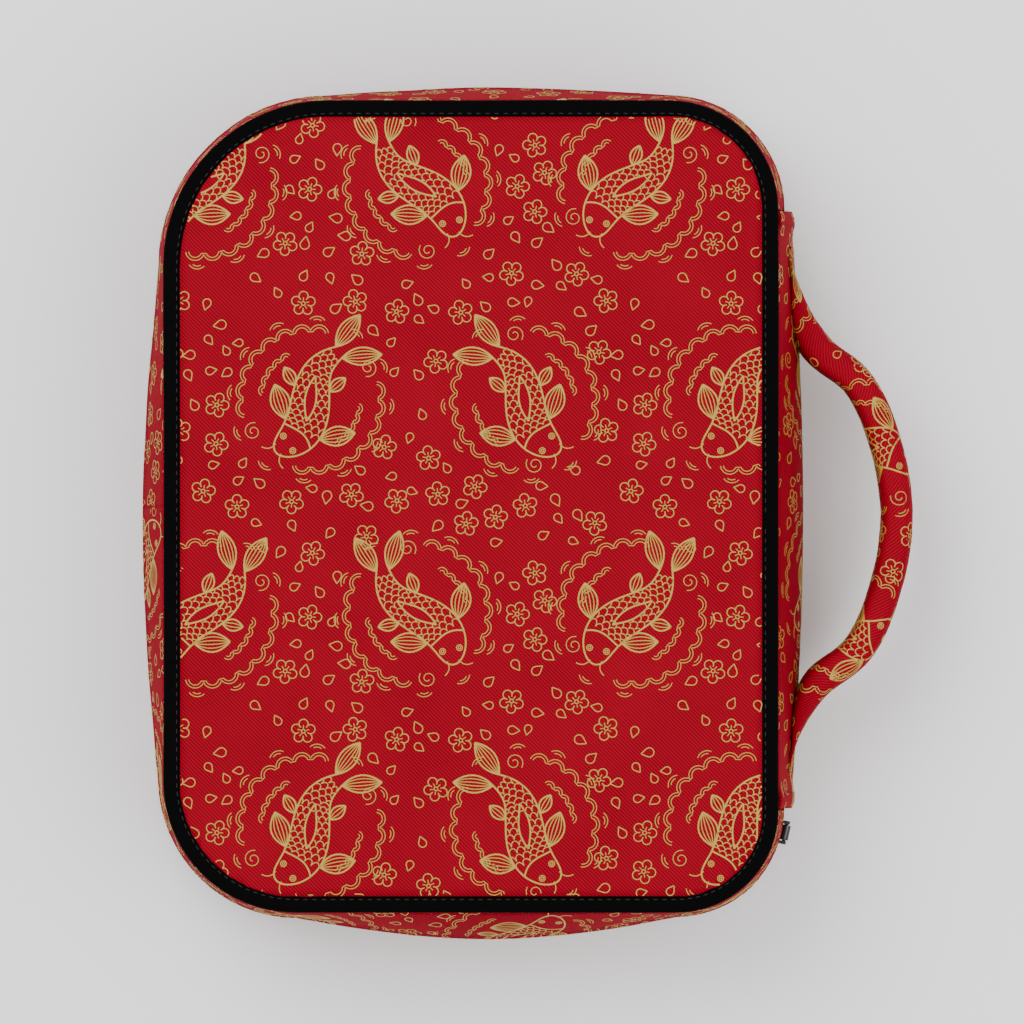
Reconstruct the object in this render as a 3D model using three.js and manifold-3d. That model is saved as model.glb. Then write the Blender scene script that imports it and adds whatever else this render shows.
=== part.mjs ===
// A soft zip-around book cover: two padded covers, a gusset that closes with a zip on three sides,
// and a spine that carries a padded carry handle.
// Millimetres. The case lies on its back cover: +Z is its thickness, +Y runs along the spine, and +X points
// from the free edge to the spine. The origin is the middle of the back cover's flat outer face.
import * as THREE from "three";
import { mergeVertices } from "three/addons/utils/BufferGeometryUtils.js";
import Module from "manifold-3d";

// Covers
const PANEL_WIDTH = 187;
const PANEL_HEIGHT = 247;
const DEPTH = 60;
const CORNER_RADIUS = { spineTop: 33, freeTop: 50, freeBottom: 40, spineBottom: 31 };
const PANEL_FABRIC = 1.2;
const FOAM_THICKNESS = 3;
const LINING_THICKNESS = 0.8;

// Binding tape folded over the sewn edge of each cover
const BINDING_WIDTH = 5.6;
const BINDING_THICKNESS = 0.9;
const BINDING_WRAP = 4.9;
const BINDING_RECESS = 0.3;

// Gusset: how far it swells past the sewn edge at mid depth, side by side
const BULGE = { top: 4.3, free: 6.7, bottom: 8.8, spine: 7.9, spineEnd: 4.2, corner: 1.8 };
const GUSSET_FABRIC = 1.2;
const GUSSET_LINING_SHY = 1;

// Zip
const ZIP_EXPOSED = 9;
const ZIP_TAPE_WIDTH = 9.7;
const ZIP_TAPE_THICKNESS = 0.6;
const ZIP_CHAIN_GAP = 1.6;
const COIL_HEIGHT = 1.6;
const COIL_THICKNESS = 1.2;

// Slider and its puller
const SLIDER_LENGTH = 10;
const SLIDER_PLATE = 1;
const SLIDER_POST_LENGTH = 3;
const SLIDER_POST_CLEARANCE = 0.4;
const SLIDER_REST_ANGLE = -12;
const BAR_RADIUS = 0.5;
const EAR_LENGTH = 1;
const EAR_HEIGHT = 2.4;
const PULLER_LENGTH = 20;
const PULLER_WIDTH = 4.6;
const PULLER_THICKNESS = 1.2;
const PULLER_EYE_WALL = 0.5;
const PULLER_SLOT_WIDTH = 2;
const PULLER_SLOT_LENGTH = 9;

// Spine and handle
const SPINE_SET_BACK = 0.5;
const SPINE_FOAM = 2.5;
const HANDLE_CENTRE_Y = -3;
const HANDLE_HALF_SPAN = 52;
const HANDLE_END_MARGIN = 11;
const HANDLE_TAPER = 32;
const HANDLE_REACH = 28.6;
const HANDLE_THICKNESS = 9.6;
const HANDLE_WIDTH = 28;
const HANDLE_COVER = 1.2;
const HANDLE_ROUNDING = 3;
const HANDLE_LEAST = 0.2;

// Book sleeves, one on each lining
const SLEEVE_WIDTH = 78;
const SLEEVE_INSET = 7;
const SLEEVE_ROOM = 3;
const SLEEVE_FABRIC = 0.8;
const SLEEVE_HEM = 4;

// Clearances
const LAYER_GAP = 0.3;
const SEAM_GAP = 0.5;
const RUNNING_GAP = 0.3;

// Fineness of the faceted curves
const ARC_STEPS = 7;
const SIDE_STEPS = 6;
const GUSSET_STEPS = 4;
const SPINE_STEPS = 14;
const HANDLE_STEPS = 40;
const ROUND_STEPS = 20;

// Heights above the rest face that the two halves share
const MID_DEPTH = DEPTH / 2;
const FOAM_LOW = PANEL_FABRIC + LAYER_GAP;
const LINING_LOW = FOAM_LOW + FOAM_THICKNESS + LAYER_GAP;
const LINING_HIGH = LINING_LOW + LINING_THICKNESS;
const BINDING_HIGH = BINDING_RECESS + BINDING_WRAP;
const GUSSET_LOW = BINDING_HIGH + LAYER_GAP;
const GUSSET_HIGH = MID_DEPTH - ZIP_EXPOSED / 2;
const CHAIN_HIGH = MID_DEPTH - ZIP_CHAIN_GAP / 2;
const SPINE_LOW = BINDING_HIGH + SEAM_GAP;

// Depths of the gusset's layers behind its outer face
const TAPE_OUTER = GUSSET_FABRIC + LAYER_GAP;
const TAPE_INNER = TAPE_OUTER + ZIP_TAPE_THICKNESS;
const COIL_OUTER = TAPE_INNER + LAYER_GAP;
const COIL_INNER = COIL_OUTER + COIL_THICKNESS;

const CORNERS = [
  { right: 1, up: 1, radius: CORNER_RADIUS.spineTop },
  { right: -1, up: 1, radius: CORNER_RADIUS.freeTop },
  { right: -1, up: -1, radius: CORNER_RADIUS.freeBottom },
  { right: 1, up: -1, radius: CORNER_RADIUS.spineBottom },
].map((corner) => ({
  ...corner,
  x: corner.right * (PANEL_WIDTH / 2 - corner.radius),
  y: corner.up * (PANEL_HEIGHT / 2 - corner.radius),
}));
const [SPINE_TOP_CORNER, , , SPINE_BOTTOM_CORNER] = CORNERS;

// The spine fills the straight run between its two corners.
const SPINE_TOP = SPINE_TOP_CORNER.y - SPINE_SET_BACK;
const SPINE_BOTTOM = SPINE_BOTTOM_CORNER.y + SPINE_SET_BACK;
const SLIDER_HEIGHT = ZIP_EXPOSED - 2 * RUNNING_GAP;
const SLIDER_POST_HEIGHT = ZIP_CHAIN_GAP - 2 * SLIDER_POST_CLEARANCE;
const BAR_LENGTH = PULLER_WIDTH + 2 * RUNNING_GAP + 2 * EAR_LENGTH;

const COLOURS = {
  print: { color: 0xc41820, roughness: 0.85, metalness: 0 },
  binding: { color: 0x060606, roughness: 0.8, metalness: 0 },
  foam: { color: 0xd8d4cc, roughness: 0.95, metalness: 0 },
  lining: { color: 0x1c1c1e, roughness: 0.8, metalness: 0 },
  zip: { color: 0x0a0a0a, roughness: 0.6, metalness: 0 },
  slider: { color: 0x101010, roughness: 0.4, metalness: 0.7 },
};

const wasm = await Module();
wasm.setup();

// ---- joining and cutting ----

function solidOf(geometry) {
  const bare = geometry.clone();
  bare.deleteAttribute("normal");
  bare.deleteAttribute("uv");
  const merged = mergeVertices(bare, 1e-4);
  const vertProperties = merged.attributes.position.array;
  const triVerts = new Uint32Array(merged.index.array);
  return new wasm.Manifold(new wasm.Mesh({ numProp: 3, vertProperties, triVerts }));
}

function geometryOf(solid) {
  const mesh = solid.getMesh();
  const geometry = new THREE.BufferGeometry();
  geometry.setAttribute("position", new THREE.BufferAttribute(mesh.vertProperties, 3));
  geometry.setIndex(new THREE.BufferAttribute(mesh.triVerts, 1));
  return geometry;
}

const join = (...parts) => geometryOf(parts.map(solidOf).reduce((a, b) => a.add(b)));
const cut = (part, ...tools) => geometryOf(tools.map(solidOf).reduce((a, b) => a.subtract(b), solidOf(part)));

// ---- the sewn outline ----

function cornerArc(corner, offset) {
  const quarter = Math.PI / 2;
  const start = CORNERS.indexOf(corner) * quarter;
  return Array.from({ length: ARC_STEPS + 1 }, (_, i) => {
    const angle = start + (quarter * i) / ARC_STEPS;
    const reach = corner.radius + offset;
    return new THREE.Vector2(corner.x + reach * Math.cos(angle), corner.y + reach * Math.sin(angle));
  });
}

function between(from, to, steps) {
  return Array.from({ length: steps - 1 }, (_, i) => from.clone().lerp(to, (i + 1) / steps));
}

// The outline moved outwards by offset, counter-clockwise from the top of the spine side.
// Its fourth side, along the spine, is left open.
function openOutline(offset) {
  const arcs = CORNERS.map((corner) => cornerArc(corner, offset));
  return arcs.flatMap((arc, i) => {
    const next = arcs[i + 1];
    return next ? [...arc, ...between(arc.at(-1), next[0], SIDE_STEPS)] : arc;
  });
}

// Round the three sides that carry the zip, between the ends of the spine.
function zipOutline(offset) {
  const x = PANEL_WIDTH / 2 + offset;
  const top = new THREE.Vector2(x, SPINE_TOP + LAYER_GAP);
  const bottom = new THREE.Vector2(x, SPINE_BOTTOM - LAYER_GAP);
  return [top, ...openOutline(offset), bottom];
}

function spineOutline(offset) {
  const x = PANEL_WIDTH / 2 + offset;
  const low = new THREE.Vector2(x, SPINE_BOTTOM);
  const high = new THREE.Vector2(x, SPINE_TOP);
  return [low, ...between(low, high, SPINE_STEPS), high];
}

function extruded(shape, low, high) {
  const geometry = new THREE.ExtrudeGeometry(shape, { depth: high - low, bevelEnabled: false });
  return geometry.translate(0, 0, low);
}

// A flat layer that fills the outline.
function plate(offset, low, high) {
  return extruded(new THREE.Shape(openOutline(offset)), low, high);
}

// A closed ring between two offsets of the outline.
function ring(outer, inner, low, high) {
  const shape = new THREE.Shape(openOutline(outer));
  shape.holes.push(new THREE.Path(openOutline(inner)));
  return extruded(shape, low, high);
}

// A strip between two offsets that follows an open outline. It is built in short faces from row to row,
// so that they stay the right way round when it is swollen.
function strip(outline, outer, inner, low, high, steps = 1) {
  const levels = Array.from({ length: steps + 1 }, (_, i) => low + ((high - low) * i) / steps);
  const near = outline(inner);
  const rows = outline(outer).map((far, i) => [
    ...levels.map((z) => [far.x, far.y, z]),
    ...levels.toReversed().map((z) => [near[i].x, near[i].y, z]),
  ]);
  const size = 2 * levels.length;
  const index = [];
  const quad = (a, b, c, d) => index.push(a, b, c, a, c, d);
  for (let row = 0; row < rows.length - 1; row++) {
    for (let k = 0; k < size; k++) {
      const next = (k + 1) % size;
      const [here, there] = [row * size, (row + 1) * size];
      quad(here + k, there + k, there + next, here + next);
    }
  }
  const last = (rows.length - 1) * size;
  for (let k = 0; k < steps; k++) {
    quad(k, k + 1, size - 2 - k, size - 1 - k);
    quad(last + k, last + size - 1 - k, last + size - 2 - k, last + k + 1);
  }
  const geometry = new THREE.BufferGeometry();
  geometry.setAttribute("position", new THREE.Float32BufferAttribute(rows.flat(2), 3));
  geometry.setIndex(index);
  return geometry;
}

// ---- the swelling of the gusset ----

const hump = (t) => Math.sin(Math.PI * THREE.MathUtils.clamp(t, 0, 1));

// 0 at the sewn edges, 1 at mid depth.
const swellAt = (z) => hump((z - BINDING_HIGH) / (DEPTH - 2 * BINDING_HIGH));

// Which way is out at a point near the outline, and how far its side swells there.
function outwardAt(x, y) {
  for (const corner of CORNERS) {
    const dx = x - corner.x;
    const dy = y - corner.y;
    if (dx * corner.right >= 0 && dy * corner.up >= 0)
      return { normal: new THREE.Vector2(dx, dy).normalize(), bulge: BULGE.corner };
  }
  const [spineTop, freeTop, freeBottom, spineBottom] = CORNERS;
  const swell = (middle, value, from, to) => {
    const share = hump((value - from) / (to - from));
    return BULGE.corner + (middle - BULGE.corner) * share;
  };
  if (x >= Math.max(spineTop.x, spineBottom.x))
    return { normal: new THREE.Vector2(1, 0), bulge: BULGE.corner };
  if (x <= Math.min(freeTop.x, freeBottom.x))
    return { normal: new THREE.Vector2(-1, 0), bulge: swell(BULGE.free, y, freeBottom.y, freeTop.y) };
  if (y > 0) return { normal: new THREE.Vector2(0, 1), bulge: swell(BULGE.top, x, freeTop.x, spineTop.x) };
  return { normal: new THREE.Vector2(0, -1), bulge: swell(BULGE.bottom, x, freeBottom.x, spineBottom.x) };
}

// The spine swells more than the gusset that it is sewn to.
function spineOutwardAt(x, y) {
  const share = hump((y - SPINE_BOTTOM) / (SPINE_TOP - SPINE_BOTTOM));
  const bulge = BULGE.spineEnd + (BULGE.spine - BULGE.spineEnd) * share;
  return { normal: new THREE.Vector2(1, 0), bulge };
}

function swollen(geometry, outward = outwardAt) {
  const position = geometry.attributes.position;
  for (let i = 0; i < position.count; i++) {
    const [x, y, z] = [position.getX(i), position.getY(i), position.getZ(i)];
    const { normal, bulge } = outward(x, y);
    const push = bulge * swellAt(z);
    position.setXY(i, x + normal.x * push, y + normal.y * push);
  }
  return geometry;
}

// ---- building ----

const book_cover = new THREE.Group();

function add(name, geometry, finish, parent = book_cover) {
  const mesh = new THREE.Mesh(geometry, new THREE.MeshStandardMaterial(COLOURS[finish]));
  mesh.name = name;
  parent.add(mesh);
}

// Heights of the back half as they are, and of the front half mirrored about mid depth.
const HALVES = {
  back: (low, high) => [low, high],
  front: (low, high) => [DEPTH - high, DEPTH - low],
};

function binding(heights) {
  const face = ring(0, -BINDING_WIDTH, ...heights(BINDING_RECESS, BINDING_RECESS + BINDING_THICKNESS));
  const wall = ring(0, -BINDING_THICKNESS, ...heights(BINDING_RECESS, BINDING_HIGH));
  return join(face, wall);
}

// A flat pocket over the free-edge side of a lining, open towards the spine.
function sleeve(heights) {
  const low = LINING_HIGH + LAYER_GAP;
  const ceiling = low + SLEEVE_ROOM;
  const high = ceiling + SLEEVE_FABRIC;
  const freeEdge = -PANEL_WIDTH / 2;
  const mouth = new THREE.BoxGeometry(PANEL_WIDTH, 2 * PANEL_HEIGHT, DEPTH);
  mouth.translate(freeEdge + SLEEVE_INSET + SLEEVE_WIDTH + PANEL_WIDTH / 2, 0, MID_DEPTH);
  const [roomLow, roomHigh] = heights(low - LAYER_GAP, ceiling);
  const sheet = plate(-SLEEVE_INSET, ...heights(low, high));
  const room = plate(-SLEEVE_INSET - SLEEVE_HEM, roomLow, roomHigh);
  return cut(sheet, room, mouth);
}

for (const [half, heights] of Object.entries(HALVES)) {
  const face = -BINDING_WIDTH - LAYER_GAP;
  const inside = -Math.max(BINDING_THICKNESS, GUSSET_FABRIC) - LAYER_GAP;
  const liningOuter = -TAPE_INNER - SEAM_GAP;
  const gusset = heights(GUSSET_LOW, GUSSET_HIGH);
  const gussetLining = heights(LINING_HIGH + LAYER_GAP, GUSSET_HIGH - GUSSET_LINING_SHY);
  const tape = heights(CHAIN_HIGH - ZIP_TAPE_WIDTH, CHAIN_HIGH);
  const coil = heights(CHAIN_HIGH - COIL_HEIGHT, CHAIN_HIGH);
  add(`${half}_outer_panel`, plate(face, ...heights(0, PANEL_FABRIC)), "print");
  add(`${half}_foam_pad`, plate(inside, ...heights(FOAM_LOW, FOAM_LOW + FOAM_THICKNESS)), "foam");
  add(`${half}_lining_panel`, plate(inside, ...heights(LINING_LOW, LINING_HIGH)), "lining");
  add(`${half}_book_sleeve`, sleeve(heights), "lining");
  add(`${half}_binding`, binding(heights), "binding");
  add(
    `${half}_gusset_fabric`,
    swollen(strip(zipOutline, 0, -GUSSET_FABRIC, ...gusset, GUSSET_STEPS)),
    "print",
  );
  add(
    `${half}_gusset_lining`,
    swollen(strip(zipOutline, liningOuter, liningOuter - LINING_THICKNESS, ...gussetLining, GUSSET_STEPS)),
    "lining",
  );
  add(`${half}_zip_tape`, swollen(strip(zipOutline, -TAPE_OUTER, -TAPE_INNER, ...tape, 2)), "zip");
  add(`${half}_zip_coil`, swollen(strip(zipOutline, -COIL_OUTER, -COIL_INNER, ...coil)), "zip");
}

// ---- spine ----

const spineHeights = [SPINE_LOW, DEPTH - SPINE_LOW];
const foamOuter = -GUSSET_FABRIC - LAYER_GAP;
const spineLiningOuter = foamOuter - SPINE_FOAM - LAYER_GAP;
const spineSteps = 2 * GUSSET_STEPS;

// The layers share their heights and steps, so that their facets stay parallel.
function spineLayer(outer, inner, heights = spineHeights) {
  return swollen(strip(spineOutline, outer, inner, ...heights, spineSteps), spineOutwardAt);
}

add("spine_fabric", spineLayer(0, -GUSSET_FABRIC), "print");
add("spine_foam", spineLayer(foamOuter, foamOuter - SPINE_FOAM), "foam");
add("spine_lining", spineLayer(spineLiningOuter, spineLiningOuter - LINING_THICKNESS), "lining");

// ---- handle ----

// The strap's middle line, seen from the front: flat on the spine at each foot, then out in one arch.
// Each point of the arch is a share of the reach and of the half span.
const ARCH = [
  [0.04, 1.16],
  [0.2, 0.98],
  [0.62, 0.78],
  [0.89, 0.42],
];
const FOOT_SINK = 0.06;

function handleLine() {
  const at = (share, y) => {
    const spineFace = PANEL_WIDTH / 2 + spineOutwardAt(0, y).bulge;
    return new THREE.Vector3(spineFace + share * HANDLE_REACH, y, 0);
  };
  const foot = (y) => at(-FOOT_SINK, y);
  const flank = (side) =>
    ARCH.map(([share, span]) => at(share, HANDLE_CENTRE_Y + side * span * HANDLE_HALF_SPAN));
  const points = [
    foot(SPINE_BOTTOM + HANDLE_END_MARGIN),
    ...flank(-1),
    at(1, HANDLE_CENTRE_Y),
    ...flank(1).reverse(),
    foot(SPINE_TOP - HANDLE_END_MARGIN),
  ];
  return new THREE.CatmullRomCurve3(points, false, "centripetal");
}

// The strap's side view, grown or shrunk all round. It thins to its stitched ends.
function handleShape(grow) {
  const line = handleLine();
  const length = line.getLength();
  const sides = [[], []];
  for (let i = 0; i <= HANDLE_STEPS; i++) {
    const u = i / HANDLE_STEPS;
    const middle = line.getPointAt(u);
    const tangent = line.getTangentAt(u);
    const fromEnd = Math.min(u, 1 - u) * length;
    const fill = THREE.MathUtils.smoothstep(fromEnd, 0, HANDLE_TAPER);
    const halfThick = Math.max((HANDLE_THICKNESS / 2) * fill + grow, HANDLE_LEAST);
    for (const [j, sign] of [[0, 1], [1, -1]]) {
      const x = middle.x + sign * tangent.y * halfThick;
      const y = middle.y - sign * tangent.x * halfThick;
      sides[j].push(new THREE.Vector2(x, y));
    }
  }
  return new THREE.Shape([...sides[0], ...sides[1].reverse()]);
}

function handleSolid(grow, width, rounding) {
  const geometry = new THREE.ExtrudeGeometry(handleShape(grow - rounding), {
    depth: width - 2 * rounding,
    bevelThickness: rounding,
    bevelSize: rounding,
    bevelSegments: 2,
  });
  return geometry.translate(0, 0, MID_DEPTH - width / 2 + rounding);
}

// Everything up to just clear of the spine's outer face. The cover is open there, under its stitched feet.
const spineEnvelope = spineLayer(LAYER_GAP, -HANDLE_THICKNESS);
const strap = cut(handleSolid(0, HANDLE_WIDTH, HANDLE_ROUNDING), spineEnvelope);
const hollowWidth = HANDLE_WIDTH - 2 * HANDLE_COVER;
const hollow = handleSolid(-HANDLE_COVER, hollowWidth, HANDLE_ROUNDING - HANDLE_COVER);
const coreGrow = -HANDLE_COVER - LAYER_GAP;
const coreRounding = HANDLE_ROUNDING + coreGrow;
const core = cut(handleSolid(coreGrow, HANDLE_WIDTH + 2 * coreGrow, coreRounding), spineEnvelope);
add("handle_cover", cut(strap, hollow), "print");
add("handle_core", core, "foam");

// ---- zip slider, parked at the lower end of the zip beside the spine ----

const chainRadius = SPINE_BOTTOM_CORNER.radius + BULGE.corner;

// A curved block round the corner's centre, between two offsets from the gusset's face.
function sector(outer, inner, length, low, high) {
  const half = length / 2 / chainRadius;
  const shape = new THREE.Shape();
  shape.absarc(0, 0, chainRadius + outer, -half, half, false);
  shape.absarc(0, 0, chainRadius + inner, half, -half, true);
  const settings = { depth: high - low, bevelEnabled: false, curveSegments: 6 };
  return new THREE.ExtrudeGeometry(shape, settings).translate(0, 0, low);
}

const outerPlateLow = -TAPE_OUTER + RUNNING_GAP;
const outerPlateHigh = outerPlateLow + SLIDER_PLATE;
const innerPlateHigh = -COIL_INNER - RUNNING_GAP;
const innerPlateLow = innerPlateHigh - SLIDER_PLATE;
const eyeRadius = BAR_RADIUS + RUNNING_GAP + PULLER_EYE_WALL;
const barOffset = outerPlateHigh + RUNNING_GAP + eyeRadius;
const barX = chainRadius + barOffset;

function ear(side) {
  const low = chainRadius + outerPlateHigh - SLIDER_PLATE / 2;
  const high = barX + BAR_RADIUS + RUNNING_GAP;
  const geometry = new THREE.BoxGeometry(high - low, EAR_LENGTH, EAR_HEIGHT);
  return geometry.translate((low + high) / 2, (side * (BAR_LENGTH - EAR_LENGTH)) / 2, 0);
}

const bar = new THREE.CylinderGeometry(BAR_RADIUS, BAR_RADIUS, BAR_LENGTH - EAR_LENGTH, ROUND_STEPS);
bar.translate(barX, 0, 0);
const postOuter = outerPlateLow + SLIDER_PLATE / 2;
const postInner = innerPlateHigh - SLIDER_PLATE / 2;
const [plateEdge, postEdge] = [SLIDER_HEIGHT / 2, SLIDER_POST_HEIGHT / 2];
// The inner plate holds the back tape alone, so that the front tape can leave inwards as the cover opens.
const sliderBody = join(
  sector(outerPlateHigh, outerPlateLow, SLIDER_LENGTH, -plateEdge, plateEdge),
  sector(innerPlateHigh, innerPlateLow, SLIDER_LENGTH, -plateEdge, postEdge),
  sector(postOuter, postInner, SLIDER_POST_LENGTH, -postEdge, postEdge),
  ear(1),
  ear(-1),
  bar,
);

const eye = new THREE.CylinderGeometry(eyeRadius, eyeRadius, PULLER_WIDTH, ROUND_STEPS);
const eyeHole = new THREE.CylinderGeometry(
  BAR_RADIUS + RUNNING_GAP,
  BAR_RADIUS + RUNNING_GAP,
  PULLER_WIDTH * 2,
  ROUND_STEPS,
);
const blade = new THREE.BoxGeometry(PULLER_THICKNESS, PULLER_WIDTH, PULLER_LENGTH);
blade.translate(0, 0, -PULLER_LENGTH / 2);
const slotRim = (PULLER_WIDTH - PULLER_SLOT_WIDTH) / 2;
const slot = new THREE.BoxGeometry(PULLER_THICKNESS * 2, PULLER_SLOT_WIDTH, PULLER_SLOT_LENGTH);
slot.translate(0, 0, -PULLER_LENGTH + slotRim + PULLER_SLOT_LENGTH / 2);
const puller = cut(join(eye, blade), eyeHole, slot).translate(barX, 0, 0);

const slider = new THREE.Group();
slider.position.set(SPINE_BOTTOM_CORNER.x, SPINE_BOTTOM_CORNER.y, MID_DEPTH);
slider.rotation.z = THREE.MathUtils.degToRad(SLIDER_REST_ANGLE);
add("zip_slider", sliderBody, "slider", slider);
add("zip_puller", puller, "slider", slider);
book_cover.add(slider);

export default book_cover;
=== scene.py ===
"""A soft zip-around book cover: two padded covers, a gusset that closes with a zip on three sides,
and a spine with a padded carry handle. It lies on its back cover, and +X points to its spine."""

import math
import random

import bmesh
import bpy
from bpy.props import FloatProperty, FloatVectorProperty, IntProperty, PointerProperty
from mathutils import Matrix, Vector, noise
from mathutils.bvhtree import BVHTree
from mathutils.geometry import barycentric_transform
from mathutils.kdtree import KDTree


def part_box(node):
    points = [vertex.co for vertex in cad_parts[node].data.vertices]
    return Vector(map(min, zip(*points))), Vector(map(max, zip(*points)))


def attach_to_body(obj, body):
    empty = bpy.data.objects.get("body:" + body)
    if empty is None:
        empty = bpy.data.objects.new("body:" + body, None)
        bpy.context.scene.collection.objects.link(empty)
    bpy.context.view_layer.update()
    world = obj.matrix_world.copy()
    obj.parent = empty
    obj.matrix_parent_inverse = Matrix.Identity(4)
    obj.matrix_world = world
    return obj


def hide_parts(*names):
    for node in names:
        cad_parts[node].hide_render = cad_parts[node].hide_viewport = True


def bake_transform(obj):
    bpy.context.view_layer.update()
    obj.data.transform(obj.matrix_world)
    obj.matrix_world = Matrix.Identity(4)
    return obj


bl_info = {
    "name": "Zip-Around Book Cover",
    "version": (1, 0, 0),
    "blender": (4, 5, 0),
    "location": "View3D > Sidebar > Book Cover",
    "description": "Sews the fabric, zip, handle and print of a soft book cover over its packed frame",
    "category": "Add Mesh",
}

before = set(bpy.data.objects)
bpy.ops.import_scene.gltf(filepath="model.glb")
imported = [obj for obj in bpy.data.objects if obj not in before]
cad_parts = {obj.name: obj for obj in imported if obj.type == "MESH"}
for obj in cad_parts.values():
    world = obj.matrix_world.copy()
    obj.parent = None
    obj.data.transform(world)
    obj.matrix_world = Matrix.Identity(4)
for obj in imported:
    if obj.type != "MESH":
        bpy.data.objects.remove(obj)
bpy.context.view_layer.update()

MM = 0.001
TOUCH = 1e-5
CLOTH = 0.9 * MM
LEAST_PADDING = 0.7 * MM
HALVES = ("back", "front")
RUNS = ("top", "bottom")

edge_low, edge_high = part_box("back_binding")
spine_low, spine_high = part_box("spine_fabric")
handle_low, handle_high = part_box("handle_cover")
tape_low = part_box("back_zip_tape")[0]


# ---- sizes and colours that a maker would change ----


def length(name, description, value):
    return FloatProperty(name=name, description=description, default=value, unit="LENGTH", precision=5)


def colour(name, description, value):
    return FloatVectorProperty(
        name=name, description=description, default=value, subtype="COLOR", size=3, min=0, max=1
    )


class BookCoverSizes(bpy.types.PropertyGroup):
    width: length("Width", "From the free edge to the spine side, over the binding", edge_high.x - edge_low.x)
    height: length("Height", "Along the spine, over the binding", edge_high.y - edge_low.y)
    depth: length("Depth", "From the back cover's face to the front's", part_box("front_outer_panel")[1].z)
    spine_top_radius: length("Spine top radius", "Corner between the spine and the top", 0.033)
    free_top_radius: length("Free top radius", "Corner between the top and the free edge", 0.05)
    free_bottom_radius: length("Free bottom radius", "Corner between the free edge and the bottom", 0.04)
    spine_bottom_radius: length("Spine bottom radius", "Corner between the bottom and the spine", 0.031)
    foam_inset: length("Foam inset", "From the ends of the spine to the ends of its foam", 0.004)
    binding_width: length("Binding width", "How much of the binding tape shows on a cover", 0.0051)
    binding_high: length("Binding height", "How far the tape wraps down the gusset", edge_high.z)
    crown: length("Crown", "How far the front cover's padding may rise", 0.0022)
    top_bulge: length("Top bulge", "How far the gusset swells at the top", 0.0043)
    free_bulge: length("Free edge bulge", "How far the gusset swells at the free edge", 0.0067)
    bottom_bulge: length("Bottom bulge", "How far the gusset swells at the bottom", 0.0088)
    corner_bulge: length("Corner bulge", "How far the gusset swells at the corners", 0.0018)
    spine_bulge: length("Spine bulge", "How far the spine swells at its middle", 0.0079)
    spine_end_bulge: length("Spine end bulge", "How far the spine swells at its ends", 0.0042)
    gusset_high: length("Gusset height", "Where the gusset's fabric stops beside the zip", 0.0255)
    tooth_pitch: length("Tooth pitch", "From one coil tooth to the next", 0.0014)
    stitch_pitch: length("Stitch pitch", "From one stitch to the next", 0.0028)
    cell: length("Cell", "Size of a fabric panel's cells", 0.004)
    corner_segments: IntProperty(name="Corner segments", description="Steps round each corner", default=16)


class BookCoverHandle(bpy.types.PropertyGroup):
    centre: length("Centre", "Where the handle's middle is along the spine", -0.003)
    half_span: length("Half span", "From the middle to each shoulder", 0.052)
    reach: length("Reach", "How far the strap's middle line stands off the spine", 0.0286)
    thickness: length("Thickness", "Of the padded strap", 0.0096)
    width: length("Width", "Of the padded strap", handle_high.z - handle_low.z)
    end_margin: length("End margin", "From the spine's end to the strap's", 0.011)
    taper: length("Taper", "How far the padding thins towards each end", 0.032)


class BookCoverPrint(bpy.types.PropertyGroup):
    repeat: length("Repeat", "Side of the print's square tile", 0.13)
    bold: length("Bold width", "Of the outlines of the fish", 0.0005)
    medium: length("Medium width", "Of the scales and the blossom", 0.0003)
    fine: length("Fine width", "Of the clouds", 0.00025)
    step: length("Step", "Longest straight piece of a gold line", 0.0012)
    raised: length("Raised", "Thickness of the gold print", 0.00005)


class BookCoverColours(bpy.types.PropertyGroup):
    red: colour("Red", "Ground of the printed fabric", (0.31, 0.0016, 0.0135))
    shade: colour("Twill shade", "Between the diagonal lines of the weave", (0.12, 0.0008, 0.0055))
    gold: colour("Gold", "Print", (0.42, 0.26, 0.030))
    black: colour("Black", "Binding tape and zip", (0.0012, 0.0012, 0.0014))
    lining: colour("Lining", "Inside fabric", (0.012, 0.012, 0.014))
    foam: colour("Foam", "Padding", (0.72, 0.69, 0.62))


def sizes():
    return bpy.context.scene.book_cover_sizes


def colours():
    return bpy.context.scene.book_cover_colours


# ---- finishes ----


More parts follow.
